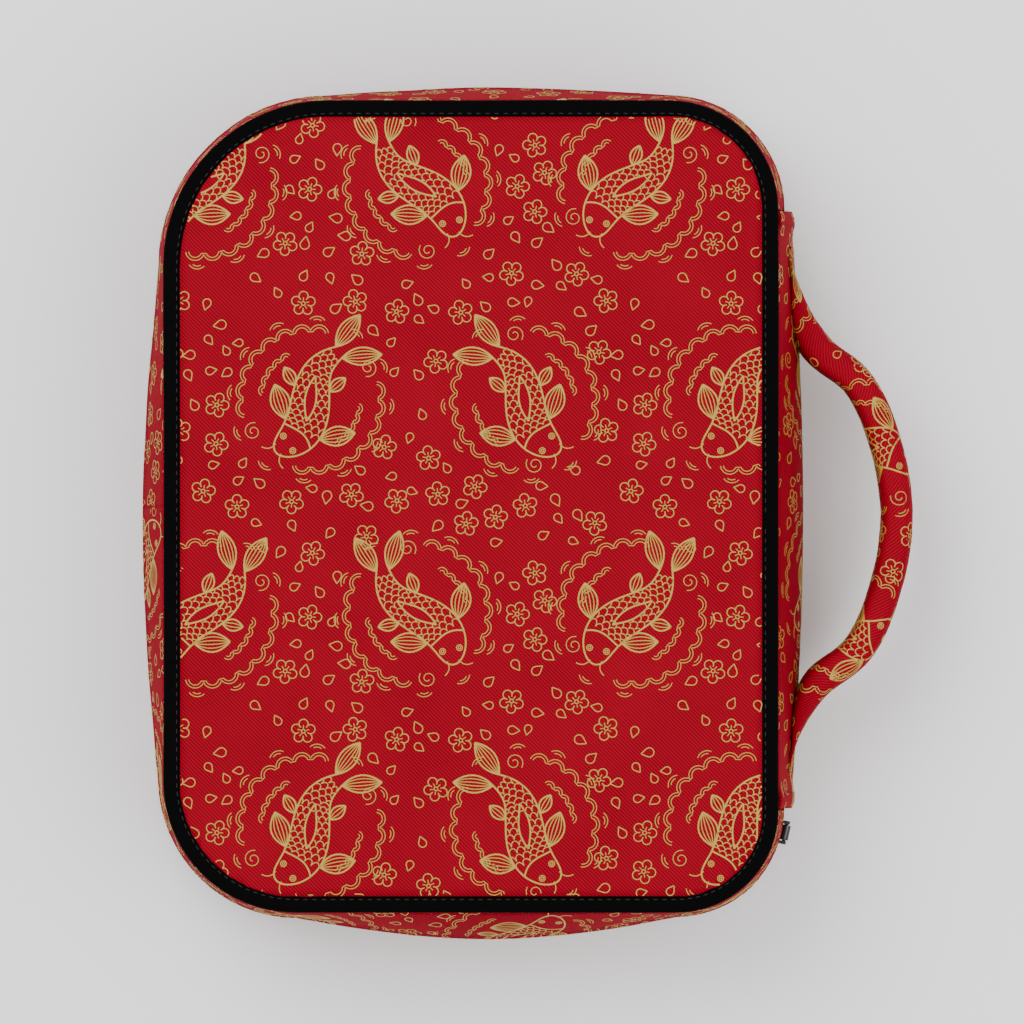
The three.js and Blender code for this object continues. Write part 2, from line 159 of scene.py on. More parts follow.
class Finish:
    """A material whose nodes are added and joined by socket name."""

    def __init__(self, name, **values):
        self.material = bpy.data.materials.new(name)
        self.material.use_nodes = True
        self.tree = self.material.node_tree
        self.shader = self.tree.nodes["Principled BSDF"]
        self.set(self.shader, values)

    def set(self, node, values):
        for key, value in values.items():
            socket = node.inputs[key if isinstance(key, int) else key.replace("_", " ")]
            if isinstance(value, bpy.types.NodeSocket):
                self.tree.links.new(value, socket)
            else:
                socket.default_value = value

    def node(self, kind, inputs=None, **settings):
        node = self.tree.nodes.new("ShaderNode" + kind)
        for key, value in settings.items():
            setattr(node, key, value)
        self.set(node, inputs or {})
        return node

    def coordinates(self, source="UV", turn=0.0):
        place = self.node("TexCoord").outputs[source]
        mapping = self.node("Mapping", {"Vector": place, "Rotation": (0, 0, math.radians(turn))})
        return mapping.outputs["Vector"]

    def bands(self, vector, pitch, **inputs):
        """Even stripes across X, one to each pitch."""
        scale = 2 * math.pi / 20 / pitch
        return self.node("TexWave", {"Vector": vector, "Scale": scale, **inputs}, wave_type="BANDS")

    def speckle(self, vector, size, **inputs):
        return self.node("TexNoise", {"Vector": vector, "Scale": 1 / size, **inputs})

    def mixed(self, factor, low, high):
        mix = self.node("Mix", {0: factor, 6: low, 7: high}, data_type="RGBA")
        return mix.outputs[2]

    def math(self, operation, a, b=0.0):
        return self.node("Math", {0: a, 1: b}, operation=operation).outputs[0]

    def paint(self, factor, low, high):
        """Base colour that goes from low to high with factor."""
        self.set(self.shader, {"Base_Color": self.mixed(factor, low, high)})

    def bump(self, height, distance, strength=1.0):
        bump = self.node("Bump", {"Height": height, "Distance": distance, "Strength": strength})
        self.set(self.shader, {"Normal": bump.outputs["Normal"]})


def rgba(values, gain=1.0):
    return (*[min(v * gain, 1) for v in values], 1)


def printed_twill():
    """Red woven cloth with dark diagonal lines."""
    finish = Finish("printed_twill", Roughness=0.85)
    finish.shader.inputs["Specular IOR Level"].default_value = 0.05
    slant = finish.coordinates(turn=-45)
    diagonal = finish.bands(slant, 0.85 * MM, Distortion=0.6, Detail=1.0, Detail_Scale=2.0)
    yarn = finish.bands(finish.coordinates(turn=45), 0.5 * MM, Distortion=0.4)
    flecks = finish.speckle(finish.coordinates(), 0.5 * MM, Detail=3.0)
    mottle = finish.speckle(finish.coordinates("Object"), 30 * MM, Detail=3.0)
    line = finish.math("POWER", diagonal.outputs["Fac"], 1.6)
    line = finish.math("MULTIPLY", line, finish.math("ADD", flecks.outputs["Fac"], 0.3))
    ground = finish.mixed(line, rgba(colours().shade), rgba(colours().red))
    shaded = finish.math("MULTIPLY", mottle.outputs["Fac"], 0.5)
    finish.paint(shaded, ground, rgba(colours().red))
    weave = finish.math("ADD", diagonal.outputs["Fac"], finish.math("MULTIPLY", yarn.outputs["Fac"], 0.4))
    finish.bump(weave, 0.08 * MM, 0.6)
    return finish.material


def gold_ink():
    """Dull gold print, thin over the weave."""
    finish = Finish("gold_ink", Metallic=0.15, Roughness=0.5)
    worn = finish.speckle(finish.coordinates("Object"), 1.2 * MM, Detail=4.0)
    finish.paint(worn.outputs["Fac"], rgba(colours().gold, 0.72), rgba(colours().gold, 1.15))
    finish.bump(worn.outputs["Fac"], 0.03 * MM)
    return finish.material


def ribbed_tape(name, pitch, turn=0.0):
    """Black tape with ribs across it."""
    finish = Finish(name, Roughness=0.9)
    finish.shader.inputs["Specular IOR Level"].default_value = 0.04
    ribs = finish.bands(finish.coordinates(turn=turn), pitch, Distortion=0.3)
    fuzz = finish.speckle(finish.coordinates(), 0.6 * MM, Detail=3.0)
    finish.paint(fuzz.outputs["Fac"], rgba(colours().black, 0.6), rgba(colours().black, 1.6))
    height = finish.math("ADD", ribs.outputs["Fac"], finish.math("MULTIPLY", fuzz.outputs["Fac"], 0.5))
    finish.bump(height, 0.12 * MM, 0.8)
    return finish.material


def lining_cloth():
    """Thin black lining, woven square, with painted shade in its fold hollows and painted light on its crests."""
    finish = Finish("lining_cloth", Roughness=0.6, Sheen_Weight=0.1)
    warp = finish.bands(finish.coordinates(), 0.5 * MM)
    weft = finish.bands(finish.coordinates(turn=90), 0.5 * MM)
    fold_height_and_shade = finish.speckle(finish.coordinates("Object"), 18 * MM, Detail=2.0)
    # The colour follows the fold height: painted shade in the hollows, painted light on the crests.
    finish.paint(fold_height_and_shade.outputs["Fac"], rgba(colours().lining, 0.7), rgba(colours().lining, 1.6))
    weave = finish.math("ADD", warp.outputs["Fac"], weft.outputs["Fac"])
    finish.bump(finish.math("ADD", weave, finish.math("MULTIPLY", fold_height_and_shade.outputs["Fac"], 6.0)), 0.06 * MM)
    return finish.material


def open_foam():
    """Pale foam with open cells."""
    finish = Finish("open_foam", Roughness=0.95)
    cells = finish.node("TexVoronoi", {"Vector": finish.coordinates("Object"), "Scale": 900.0})
    depth = finish.math("MULTIPLY", cells.outputs["Distance"], 0.8)
    finish.paint(depth, rgba(colours().foam), rgba(colours().foam, 0.7))
    finish.bump(cells.outputs["Distance"], 0.2 * MM)
    return finish.material


def coil_nylon():
    """Smooth black nylon."""
    finish = Finish("coil_nylon", Roughness=0.35)
    grain = finish.speckle(finish.coordinates("Object"), 0.8 * MM)
    finish.paint(grain.outputs["Fac"], rgba(colours().black), rgba(colours().black, 3.0))
    return finish.material


def painted_metal():
    """Black paint that is rubbed along the edges."""
    finish = Finish("painted_metal", Roughness=0.38, Metallic=0.6)
    edges = finish.node("NewGeometry").outputs["Pointiness"]
    rubbed = finish.node("MapRange", {0: edges, 1: 0.52, 2: 0.62}).outputs[0]
    grain = finish.speckle(finish.coordinates("Object"), 0.5 * MM, Detail=4.0)
    wear = finish.math("MULTIPLY", rubbed, grain.outputs["Fac"])
    finish.paint(wear, rgba(colours().black, 2.5), (0.2, 0.2, 0.2, 1))
    finish.bump(grain.outputs["Fac"], 0.01 * MM)
    return finish.material


def thread(name, values):
    """Twisted sewing thread."""
    finish = Finish(name, Roughness=0.8)
    strands = finish.bands(finish.coordinates("Object", turn=30), 0.25 * MM)
    finish.paint(strands.outputs["Fac"], rgba(values, 0.6), rgba(values, 1.2))
    return finish.material


FINISHES = {
    "printed_fabric": printed_twill,
    "gold": gold_ink,
    "binding_tape": lambda: ribbed_tape("binding_grosgrain", 0.9 * MM),
    "zip_tape": lambda: ribbed_tape("zip_tape_weave", 0.6 * MM, 45),
    "lining_fabric": lining_cloth,
    "foam": open_foam,
    "zip_coil": coil_nylon,
    "slider_metal": painted_metal,
    "red_thread": lambda: thread("red_thread", colours().shade),
    "black_thread": lambda: thread("black_thread", (0.0025, 0.0025, 0.0028)),
}


def finish_named(name):
    made = bpy.data.materials.get(name + "_finish")
    if made is None:
        made = FINISHES[name]()
        made.name = name + "_finish"
    return made


# ---- the sewn outline ----

NOTES = {
    "foot": "float_vector",
    "outward": "float_vector",
    "bulge": "float",
    "along": "float",
    "across": "float",
}


def notes_of(bm):
    """What each vertex of an outline remembers, and hands on when it is extruded."""
    return {
        name: getattr(bm.verts.layers, kind).get(name) or getattr(bm.verts.layers, kind).new(name)
        for name, kind in NOTES.items()
    }


def corners():
    """The radius of each corner, and which way it lies in X and Y."""
    s = sizes()
    return (
        (s.spine_top_radius, 1, 1),
        (s.free_top_radius, -1, 1),
        (s.free_bottom_radius, -1, -1),
        (s.spine_bottom_radius, 1, -1),
    )


def hump(share):
    """0 at both ends and 1 in the middle."""
    return math.sin(math.pi * min(max(share, 0.0), 1.0))


def swell_at(z):
    """0 at the sewn edges of the gusset and 1 at mid depth."""
    s = sizes()
    return hump((z - s.binding_high) / (s.depth - 2 * s.binding_high))


def gusset_bulge(x, y):
    """How far the gusset swells at mid depth beside a point of the outline."""
    s = sizes()
    half_x, half_y = s.width / 2, s.height / 2
    if x > half_x - TOUCH:
        return s.corner_bulge
    if x < TOUCH - half_x:
        low, high = -half_y + s.free_bottom_radius, half_y - s.free_top_radius
        middle, at = s.free_bulge, y
    elif y > half_y - TOUCH:
        low, high = -half_x + s.free_top_radius, half_x - s.spine_top_radius
        middle, at = s.top_bulge, x
    elif y < TOUCH - half_y:
        low, high = -half_x + s.free_bottom_radius, half_x - s.spine_bottom_radius
        middle, at = s.bottom_bulge, x
    else:
        return s.corner_bulge
    return s.corner_bulge + (middle - s.corner_bulge) * hump((at - low) / (high - low))


def spine_bulge(_, y):
    s = sizes()
    share = hump((y - spine_low.y) / (spine_high.y - spine_low.y))
    return s.spine_end_bulge + (s.spine_bulge - s.spine_end_bulge) * share


def flat_bulge(_, __):
    return 0.0


def sewn_edge():
    """The sewn edge of a cover as a closed loop of short edges."""
    s = sizes()
    bm = bmesh.new()
    notes_of(bm)
    bmesh.ops.create_grid(bm, x_segments=1, y_segments=1, size=0.5)
    bmesh.ops.scale(bm, vec=(s.width, s.height, 1), verts=bm.verts)
    for radius, right, up in corners():
        corner = max(bm.verts, key=lambda v: v.co.x * right + v.co.y * up)
        bmesh.ops.bevel(
            bm,
            geom=[corner],
            offset=radius,
            offset_type="OFFSET",
            affect="VERTICES",
            segments=s.corner_segments,
            profile=0.5,
            material=-1,
        )
    bmesh.ops.delete(bm, geom=bm.faces[:], context="FACES_ONLY")
    for edge in [e for e in bm.edges if e.calc_length() > 2.5 * s.cell]:
        bmesh.ops.subdivide_edges(bm, edges=[edge], cuts=round(edge.calc_length() / s.cell) - 1)
    return bm


def walk(bm, start):
    """The vertices of an outline in order, counter-clockwise from its end or point nearest to start."""
    here = min(bm.verts, key=lambda v: (len(v.link_edges) != 1, (v.co - Vector(start)).length))
    order = []
    while here is not None:
        order.append(here)
        ahead = [e.other_vert(here) for e in here.link_edges if e.other_vert(here) not in order[-2:]]
        ahead = [v for v in ahead if v is not order[0]]
        turned = sorted(ahead, key=lambda v: here.co.cross(v.co).z)
        here = turned[-1] if turned else None
    return order


def note_outline(bm, start, bulge):
    """Notes each vertex's place, its outward direction, its swelling and its distance from start."""
    notes = notes_of(bm)
    order = walk(bm, start)
    closed = len(order[0].link_edges) == 2
    travelled = 0.0
    for i, vert in enumerate(order):
        last = order[i - 1] if closed or i else vert
        following = order[(i + 1) % len(order)] if closed or i + 1 < len(order) else vert
        ahead = following.co - last.co
        travelled += (vert.co - order[i - 1].co).length if i else 0.0
        vert[notes["foot"]] = vert.co
        vert[notes["outward"]] = Vector((ahead.y, -ahead.x, 0)).normalized()
        vert[notes["bulge"]] = bulge(vert.co.x, vert.co.y)
        vert[notes["along"]] = travelled
    return bm


def cover_edge():
    """The whole sewn edge, from the middle of the spine side."""
    return note_outline(sewn_edge(), (sizes().width / 2, 0, 0), flat_bulge)


def zip_run(run):
    """Half of the edge that carries the zip: from the spine's end to the middle of the free edge."""
    s = sizes()
    bm = sewn_edge()
    up = 1 if run == "top" else -1
    seam = spine_high.y if run == "top" else spine_low.y

    def trim(edges, y):
        geom = list(edges) + list({v for e in edges for v in e.verts})
        bmesh.ops.bisect_plane(bm, geom=geom, plane_co=(0, y, 0), plane_no=(0, up, 0), clear_inner=True)

    trim(bm.edges[:], 0.0)
    trim([e for e in bm.edges if all(v.co.x > s.width / 2 - TOUCH for v in e.verts)], seam + up * 0.3 * MM)
    start = (s.width / 2, seam, 0) if run == "top" else (-s.width / 2, 0, 0)
    return note_outline(bm, start, gusset_bulge)


def spine_line():
    """The straight edge that the spine is sewn to."""
    s = sizes()
    bm = bmesh.new()
    notes_of(bm)
    low = bm.verts.new((s.width / 2, spine_low.y, 0))
    high = bm.verts.new((s.width / 2, spine_high.y, 0))
    edge = bm.edges.new((low, high))
    bmesh.ops.subdivide_edges(bm, edges=[edge], cuts=round(edge.calc_length() / (s.cell / 2)))
    return note_outline(bm, (s.width / 2, spine_low.y, 0), spine_bulge)


def stations(bm, spacing, margin=0.0):
    """Even places along an outline, each as (foot, outward, bulge). The outline is used up."""
    notes = notes_of(bm)
    along, foot_note, outward_note, swelling = (notes[name] for name in ("along", "foot", "outward", "bulge"))
    rows = sorted((v[along], v[foot_note].copy(), v[outward_note].copy(), v[swelling]) for v in bm.verts)
    bm.free()
    found, at, i = [], margin, 0
    while at <= rows[-1][0] - margin:
        while rows[i + 1][0] < at:
            i += 1
        (a, foot, out, bulge), (b, next_foot, next_out, next_bulge) = rows[i], rows[i + 1]
        t = (at - a) / (b - a)
        swell = bulge + (next_bulge - bulge) * t
        found.append((foot.lerp(next_foot, t), out.lerp(next_out, t).normalized(), swell))
        at += spacing
    return found


# ---- sewing ----


def next_row(bm, edges):
    """Extrudes a row of edges, and returns the new vertices and the new row."""
    grown = bmesh.ops.extrude_edge_only(bm, edges=edges)["geom"]
    verts = {g for g in grown if isinstance(g, bmesh.types.BMVert)}
    return verts, [g for g in grown if isinstance(g, bmesh.types.BMEdge) and set(g.verts) <= verts]


def clear_beyond(bm, point, outward, dist=0.0):
    """Cuts everything off on the outward side of a plane."""
    geom = bm.verts[:] + bm.edges[:] + bm.faces[:]
    bmesh.ops.bisect_plane(bm, geom=geom, dist=dist, plane_co=point, plane_no=outward, clear_outer=True)


def flat_distance(points):
    """How far a place lies from the nearest point, seen from above, as a function."""
    tree = KDTree(len(points))
    for i, point in enumerate(points):
        tree.insert(Vector((point.x, point.y, 0)), i)
    tree.balance()
    return lambda place: tree.find(Vector((place.x, place.y, 0)))[2]


def add_bead(bm, point, ahead, shape):
    """A small pointed bead, such as a stitch or a tooth, with its length, width and height."""
    turn = ahead.to_track_quat("X", "Z").to_matrix().to_4x4()
    matrix = Matrix.Translation(point) @ turn @ Matrix.Diagonal((*shape, 1))
    bmesh.ops.create_icosphere(bm, subdivisions=1, radius=0.5, matrix=matrix)


def sweep(bm, profile, closed=False, ripple=0.0, fold=None):
    """Carries a profile of (outward, height) points along an outline, one extrusion for each point."""
    notes = notes_of(bm)

    def place(verts, offset, height, across):
        for vert in verts:
            foot = vert[notes["foot"]]
            crease = noise.noise(Vector((foot.x * 45, foot.y * 45, height * 70))) * ripple * swell_at(height)
            push = offset + vert[notes["bulge"]] * swell_at(height) + crease
            if fold:
                push += fold(foot.y)
            vert.co = foot + vert[notes["outward"]] * push
            vert.co.z = height
            vert[notes["across"]] = across

    rows = [bm.edges[:]]
    place(bm.verts[:], *profile[0], 0.0)
    travelled = 0.0
    for last, point in zip(profile, profile[1:]):
        travelled += math.dist(last, point)
        verts, row = next_row(bm, rows[-1])
        rows.append(row)
        place(verts, *point, travelled)
    if closed:
        bmesh.ops.bridge_loops(bm, edges=rows[0] + rows[-1])
        bmesh.ops.recalc_face_normals(bm, faces=bm.faces)
        return bm
    bm.normal_update()
    if sum(f.normal.dot(f.verts[0][notes["outward"]]) for f in bm.faces) < 0:
        bmesh.ops.reverse_faces(bm, faces=bm.faces)
    return bm


def run_length(bm):
    note = notes_of(bm)["along"]
    return max(v[note] for v in bm.verts)


def lay_uv(bm):
    """A UV map in metres: distance along the outline, and across the cloth."""
    notes = notes_of(bm)
    uv = bm.loops.layers.uv.new("UVMap")
    for face in bm.faces:
        longest = max(v[notes["along"]] for v in face.verts)
        for loop in face.loops:
            along = loop.vert[notes["along"]]
            if longest - along > 20 * sizes().cell:
                along += longest
            loop[uv].uv = (along, loop.vert[notes["across"]])


def lay_flat_uv(bm, mirror=1):
    uv = bm.loops.layers.uv.new("UVMap")
    for face in bm.faces:
        for loop in face.loops:
            loop[uv].uv = (mirror * loop.vert.co.x, loop.vert.co.y)


def piece(name, bm, finish):
    """Turns a finished bmesh into an object at the origin."""
    mesh = bpy.data.meshes.new(name)
    bm.to_mesh(mesh)
    bm.free()
    for note in NOTES:
        if note in mesh.attributes:
            mesh.attributes.remove(mesh.attributes[note])
    mesh.materials.append(finish_named(finish))
    mesh.shade_smooth()
    obj = bpy.data.objects.new(name, mesh)
    bpy.context.scene.collection.objects.link(obj)
    return obj


def thicken(obj, thickness, offset=-1.0):
    modifier = obj.modifiers.new("thickness", "SOLIDIFY")
    modifier.thickness = thickness
    modifier.offset = offset
    modifier.use_even_offset = True


def soften(obj, width, segments=2):
    modifier = obj.modifiers.new("soft_edges", "BEVEL")
    modifier.width = width
    modifier.segments = segments
    modifier.limit_method = "ANGLE"
    modifier.harden_normals = False


def attach(obj, motion):
    """Makes a piece move with one body, or bakes its place into its mesh when it lies between two."""
    if isinstance(motion, str):
        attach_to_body(obj, motion)
    else:
        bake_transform(obj)


def stand_for(obj, motion, node):
    """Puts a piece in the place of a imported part, on the body that carries it."""
    attach(obj, motion)
    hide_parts(node)


def in_half(half, height):
    """A height measured from a cover's own face."""
    return height if half == "back" else sizes().depth - height


def run_motion(half, run):
    """The cover and the spine that the cloth of a run is sewn between, with two points within the corner."""
    s = sizes()
    side = s.width / 2
    radius = s.spine_top_radius if run == "top" else s.spine_bottom_radius
    turned = math.radians(48)
    near_cover = side - radius * (1 - math.cos(turned))
    return (half, "spine", (near_cover, 0, 0), (side, 0, 0))


def stitch_row(name, places, finish, motion):
    """A row of stitches, each at (point, direction along the seam)."""
    bm = bmesh.new()
    for point, ahead in places:
        add_bead(bm, point, ahead, (1.9 * MM, 0.42 * MM, 0.42 * MM))
    attach(piece(name, bm, finish), motion)


PRINTED = []


def printed(obj, motion, shift=(0.0, 0.0), facing=None):
    """Notes a piece of printed cloth, which gets its gold lines when all are sewn."""
    PRINTED.append((obj, motion, shift, facing))


# ---- covers ----


def cover_sheet(inset):
    """A flat sheet of even cells that fills the sewn edge, drawn in by inset."""
    s = sizes()
    edge = cover_edge()
    notes = notes_of(edge)
    rim = [v[notes["foot"]] - v[notes["outward"]] * inset for v in walk(edge, (s.width / 2, 0, 0))]
    edge.free()
    bm = bmesh.new()
    bmesh.ops.create_grid(bm, x_segments=round(s.width / s.cell), y_segments=round(s.height / s.cell), size=0.5)
    bmesh.ops.scale(bm, vec=(s.width, s.height, 1), verts=bm.verts)
    for a, b in zip(rim, rim[1:] + rim[:1]):
        outward = Vector((b.y - a.y, a.x - b.x, 0))
        clear_beyond(bm, a, outward, 1e-6)
    bmesh.ops.remove_doubles(bm, verts=bm.verts, dist=0.4 * MM)
    return bm


def slab(inset, low, high):
    """A closed flat layer between two heights."""
    bm = cover_sheet(inset)
    top = bmesh.ops.extrude_face_region(bm, geom=bm.faces[:])["geom"]
    bmesh.ops.translate(bm, vec=(0, 0, high - low), verts=[g for g in top if isinstance(g, bmesh.types.BMVert)])
    bmesh.ops.translate(bm, vec=(0, 0, low), verts=bm.verts)
    bmesh.ops.recalc_face_normals(bm, faces=bm.faces)
    return bm


def puff(obj, held, most):
    """Blows a pad up with cloth simulation. The held points stay, and no other moves further than most."""
    scene = bpy.context.scene
    mesh = obj.data
    before = [v.co.copy() for v in mesh.vertices]
    obj.vertex_groups.new(name="sewn").add(held, 1.0, "ADD")
    cloth = obj.modifiers.new("padding", "CLOTH")
    cloth.settings.vertex_group_mass = "sewn"
    cloth.settings.use_pressure = True
    cloth.settings.uniform_pressure_force = 4.0
    cloth.settings.effector_weights.gravity = 0
    for step in range(1, 21):
        scene.frame_set(step)
    after = [v.co.copy() for v in obj.evaluated_get(bpy.context.evaluated_depsgraph_get()).data.vertices]
    obj.modifiers.remove(cloth)
    obj.vertex_groups.clear()
    scene.frame_set(1)
    for vert, start, end in zip(mesh.vertices, before, after):
        move = end - start
        reach = move.length
        if reach > 1e-9:
            vert.co = start + move * (most * math.tanh(reach / most) / reach)


def make_padded_panel(half):
    """The printed cloth inside the binding. The front is padded up, and the floor presses the back flat."""
    s = sizes()
    name = half + "_outer_panel"
    low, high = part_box(name)
    bm = slab(s.binding_width - 0.1 * MM, low.z, high.z)
    lay_flat_uv(bm, 1 if half == "front" else -1)
    distance = flat_distance([v.co for v in bm.verts if any(abs(f.normal.z) < 0.5 for f in v.link_faces)])
    if half == "back":
        for vert in bm.verts:
            if vert.co.z < s.cell / 4:
                vert.co.z += 0.14 * MM + 0.35 * MM * math.exp(-distance(vert.co) / (1.5 * MM))
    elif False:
        for vert in bm.verts:
            if vert.co.z > high.z - 0.1 * MM:
                vert.co.z += s.crown * (1 - math.exp(-distance(vert.co) / (9 * MM)))
    held = [v.index for v in bm.verts if v.co.z < high.z - 0.1 * MM or distance(v.co) < 0.1 * MM]
    obj = piece("padded_" + name, bm, "printed_fabric")
    if half == "front":
        puff(obj, held, s.crown)
    stand_for(obj, half, name)
    printed(obj, half, facing=1 if half == "front" else -1)


def make_foam(half):
    """A pad with soft edges."""
    s = sizes()
    name = half + "_foam_pad"
    low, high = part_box(name)
    bm = slab(s.width / 2 - high.x, low.z, high.z)
    obj = piece("soft_" + name, bm, "foam")
    soften(obj, 0.9 * MM)
    stand_for(obj, half, name)


def make_lining(half):
    """The cloth inside a cover, sewn flat on its foam."""
    s = sizes()
    name = half + "_lining_panel"
    low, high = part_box(name)
    bm = slab(s.width / 2 - high.x, low.z, high.z)
    lay_flat_uv(bm)
    obj = piece("sewn_" + name, bm, "lining_fabric")
    stand_for(obj, half, name)


def make_sleeve(half):
    """A pocket for the book's cover: sewn down on three sides and standing open towards the spine."""
    s = sizes()
    name = half + "_book_sleeve"
    low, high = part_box(name)
    mouth = high.x
    bm = cover_sheet(low.x + s.width / 2)
    distance = flat_distance([v.co for v in bm.verts if v.is_boundary])
    clear_beyond(bm, (mouth, 0, 0), (1, 0, 0))
    lay_flat_uv(bm)
    thickness, hem = 0.8 * MM, 3.5 * MM
    rise = high.z - low.z - thickness
    for vert in bm.verts:
        inward = max(distance(vert.co) - hem, 0.0)
        lift = rise * (1 - math.exp(-inward / (6 * MM)))
        lift *= 0.9 + 0.1 * noise.noise(vert.co * 28)
        vert.co.z = in_half(half, min(low.z, s.depth - high.z) + lift)
    bm.normal_update()
    obj = piece("sewn_" + name, bm, "lining_fabric")
    thicken(obj, thickness, 1.0 if half == "back" else -1.0)
    stand_for(obj, half, name)


def make_binding(half):
    """Ribbed tape folded over the sewn edge, with a row of stitches near its inner edge."""
    s = sizes()
    width, wrap, tape = s.binding_width, s.binding_high, 0.9 * MM
    face = edge_low.z
    profile = [
        (-width, face + tape),
        (-width, face + 0.35 * MM),
        (-width + 0.4 * MM, face),
        (-width / 2, face + 0.05 * MM),
        (-0.7 * MM, face),
        (-0.15 * MM, face + 0.3 * MM),
        (0.0, face + 0.9 * MM),
        (0.0, wrap - 0.3 * MM),
        (-0.25 * MM, wrap),
        (-tape + 0.1 * MM, wrap),
        (-tape, wrap - 0.3 * MM),
        (-tape, face + tape + 0.2 * MM),
        (-tape - 0.3 * MM, face + tape),
    ]
    bm = cover_edge()
    sweep(bm, [(offset, in_half(half, z)) for offset, z in profile], closed=True)
    for vert in bm.verts:
        co = vert.co
        shift = noise.noise(Vector((co.x * 16, co.y * 16, 3.0 if half == "front" else 8.0)))
        outward = vert[notes_of(bm)["outward"]]
        vert.co = co + outward * (0.35 * MM * shift)
    lay_uv(bm)
    obj = piece("folded_" + half + "_binding", bm, "binding_tape")
    stand_for(obj, half, half + "_binding")
    around = stations(cover_edge(), s.stitch_pitch)
    height = in_half(half, face - 0.02 * MM)
    row = [
        (foot - outward * (width - 1.1 * MM) + Vector((0, 0, height)), Vector((-outward.y, outward.x, 0)))
        for foot, outward, _ in around
    ]
    stitch_row(half + "_binding_stitches", row, "black_thread", half)


class BOOK_COVER_OT_covers(bpy.types.Operator):
    """Make both covers: padded cloth, foam, lining, sleeve and folded binding"""

    bl_idname = "book_cover.covers"
    bl_label = "Padded Covers"
    bl_options = {"REGISTER", "UNDO"}

    def execute(self, context):
        for half in HALVES:
            make_padded_panel(half)
            make_foam(half)
            make_lining(half)
            make_sleeve(half)
            make_binding(half)
        return {"FINISHED"}


# ---- gusset and zip ----


def make_gusset(half, run):
    """The printed cloth that swells beside the zip, with a stitched fold at its edge."""
    s = sizes()
    motion = run_motion(half, run)
    low, high = s.binding_high, s.gusset_high
    rows = [low + (high - 4.4 * MM - low) * i / 8 for i in range(9)]
    profile = [(0.0, z) for z in rows]
    profile += [
        (0.1 * MM, high - 3.8 * MM),
        (-0.12 * MM, high - 3.2 * MM),
        (-0.12 * MM, high - 2.8 * MM),
        (0.3 * MM, high - 2.1 * MM),
        (0.35 * MM, high - 0.9 * MM),
        (0.05 * MM, high - 0.1 * MM),
        (-0.6 * MM, high),
        (-0.9 * MM, high - 0.8 * MM),
    ]
    bm = sweep(zip_run(run), [(o, in_half(half, z)) for o, z in profile], ripple=0.45 * MM)
    lay_uv(bm)
    margin = 2 * MM
    places = stations(zip_run(run), s.stitch_pitch, margin)
    obj = piece(f"{half}_gusset_{run}_cloth", bm, "printed_fabric")
    thicken(obj, CLOTH)
    stand_for(obj, motion, half + "_gusset_fabric")
    shift = (0.03, 0.01) if run == "top" else (0.1, 0.05)
    printed(obj, motion, shift=shift)

    height = in_half(half, high - 3.0 * MM)
    row = []
    for foot, outward, bulge in places:
        point = foot + outward * (bulge * swell_at(height)) + Vector((0, 0, height))
        row.append((point, Vector((-outward.y, outward.x, 0))))
    stitch_row(f"{half}_gusset_{run}_stitches", row, "red_thread", motion)


def make_gusset_lining(half, run):
    """The thin cloth behind the gusset."""
    name = half + "_gusset_lining"
    low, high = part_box(name)
    low_z, high_z = sorted(in_half(half, z) for z in (low.z, high.z))
    offset = -2.6 * MM
    profile = [(offset, low_z + (high_z - low_z) * i / 7) for i in range(8)]
    bm = sweep(zip_run(run), [(o, in_half(half, z)) for o, z in profile], ripple=0.3 * MM)
    whole = run_length(bm)
    lay_uv(bm)
    obj = piece(f"{name}_{run}_cloth", bm, "lining_fabric")
    thicken(obj, 0.8 * MM)
    stand_for(obj, run_motion(half, run), name)


def make_tape(half, run):
    """A woven tape, with a raised cord beside its coil."""
    name = half + "_zip_tape"
    low, high = tape_low.z, sizes().depth / 2 - 0.12 * MM
    offset = -1.5 * MM
    profile = [
        (offset, low),
        (offset, low + 3.5 * MM),
        (offset, high - 3.4 * MM),
        (offset + 0.25 * MM, high - 2.9 * MM),
        (offset + 0.3 * MM, high - 0.9 * MM),
        (offset + 0.12 * MM, high - 0.25 * MM),
        (offset - 0.25 * MM, high),
    ]
    bm = sweep(zip_run(run), [(o, in_half(half, z)) for o, z in profile])
    whole = run_length(bm)
    lay_uv(bm)
    obj = piece(f"{name}_{run}_weave", bm, "zip_tape")
    thicken(obj, 0.5 * MM)
    stand_for(obj, run_motion(half, run), name)


def make_coil(half, run):
    """Nylon teeth on the inside of a tape. Those of the two halves lie between each other."""
    s = sizes()
    name = half + "_zip_coil"
    places = stations(zip_run(run), s.tooth_pitch, s.tooth_pitch * (0.75 if half == "front" else 0.25))
    height = in_half(half, s.depth / 2 - 1.05 * MM)
    bm = bmesh.new()
    for foot, outward, bulge in places:
        point = foot + outward * (bulge * swell_at(height) - 3.0 * MM) + Vector((0, 0, height))
        add_bead(bm, point, outward, (1.15 * MM, 0.85 * MM, 2.7 * MM))
    obj = piece(f"{name}_{run}_teeth", bm, "zip_coil")
    stand_for(obj, run_motion(half, run), name)


class BOOK_COVER_OT_gusset(bpy.types.Operator):
    """Make the printed gusset beside the zip, and its lining"""

    bl_idname = "book_cover.gusset"
    bl_label = "Gusset"
    bl_options = {"REGISTER", "UNDO"}

    def execute(self, context):
        for half in HALVES:
            for run in RUNS:
                make_gusset(half, run)
                make_gusset_lining(half, run)
        return {"FINISHED"}


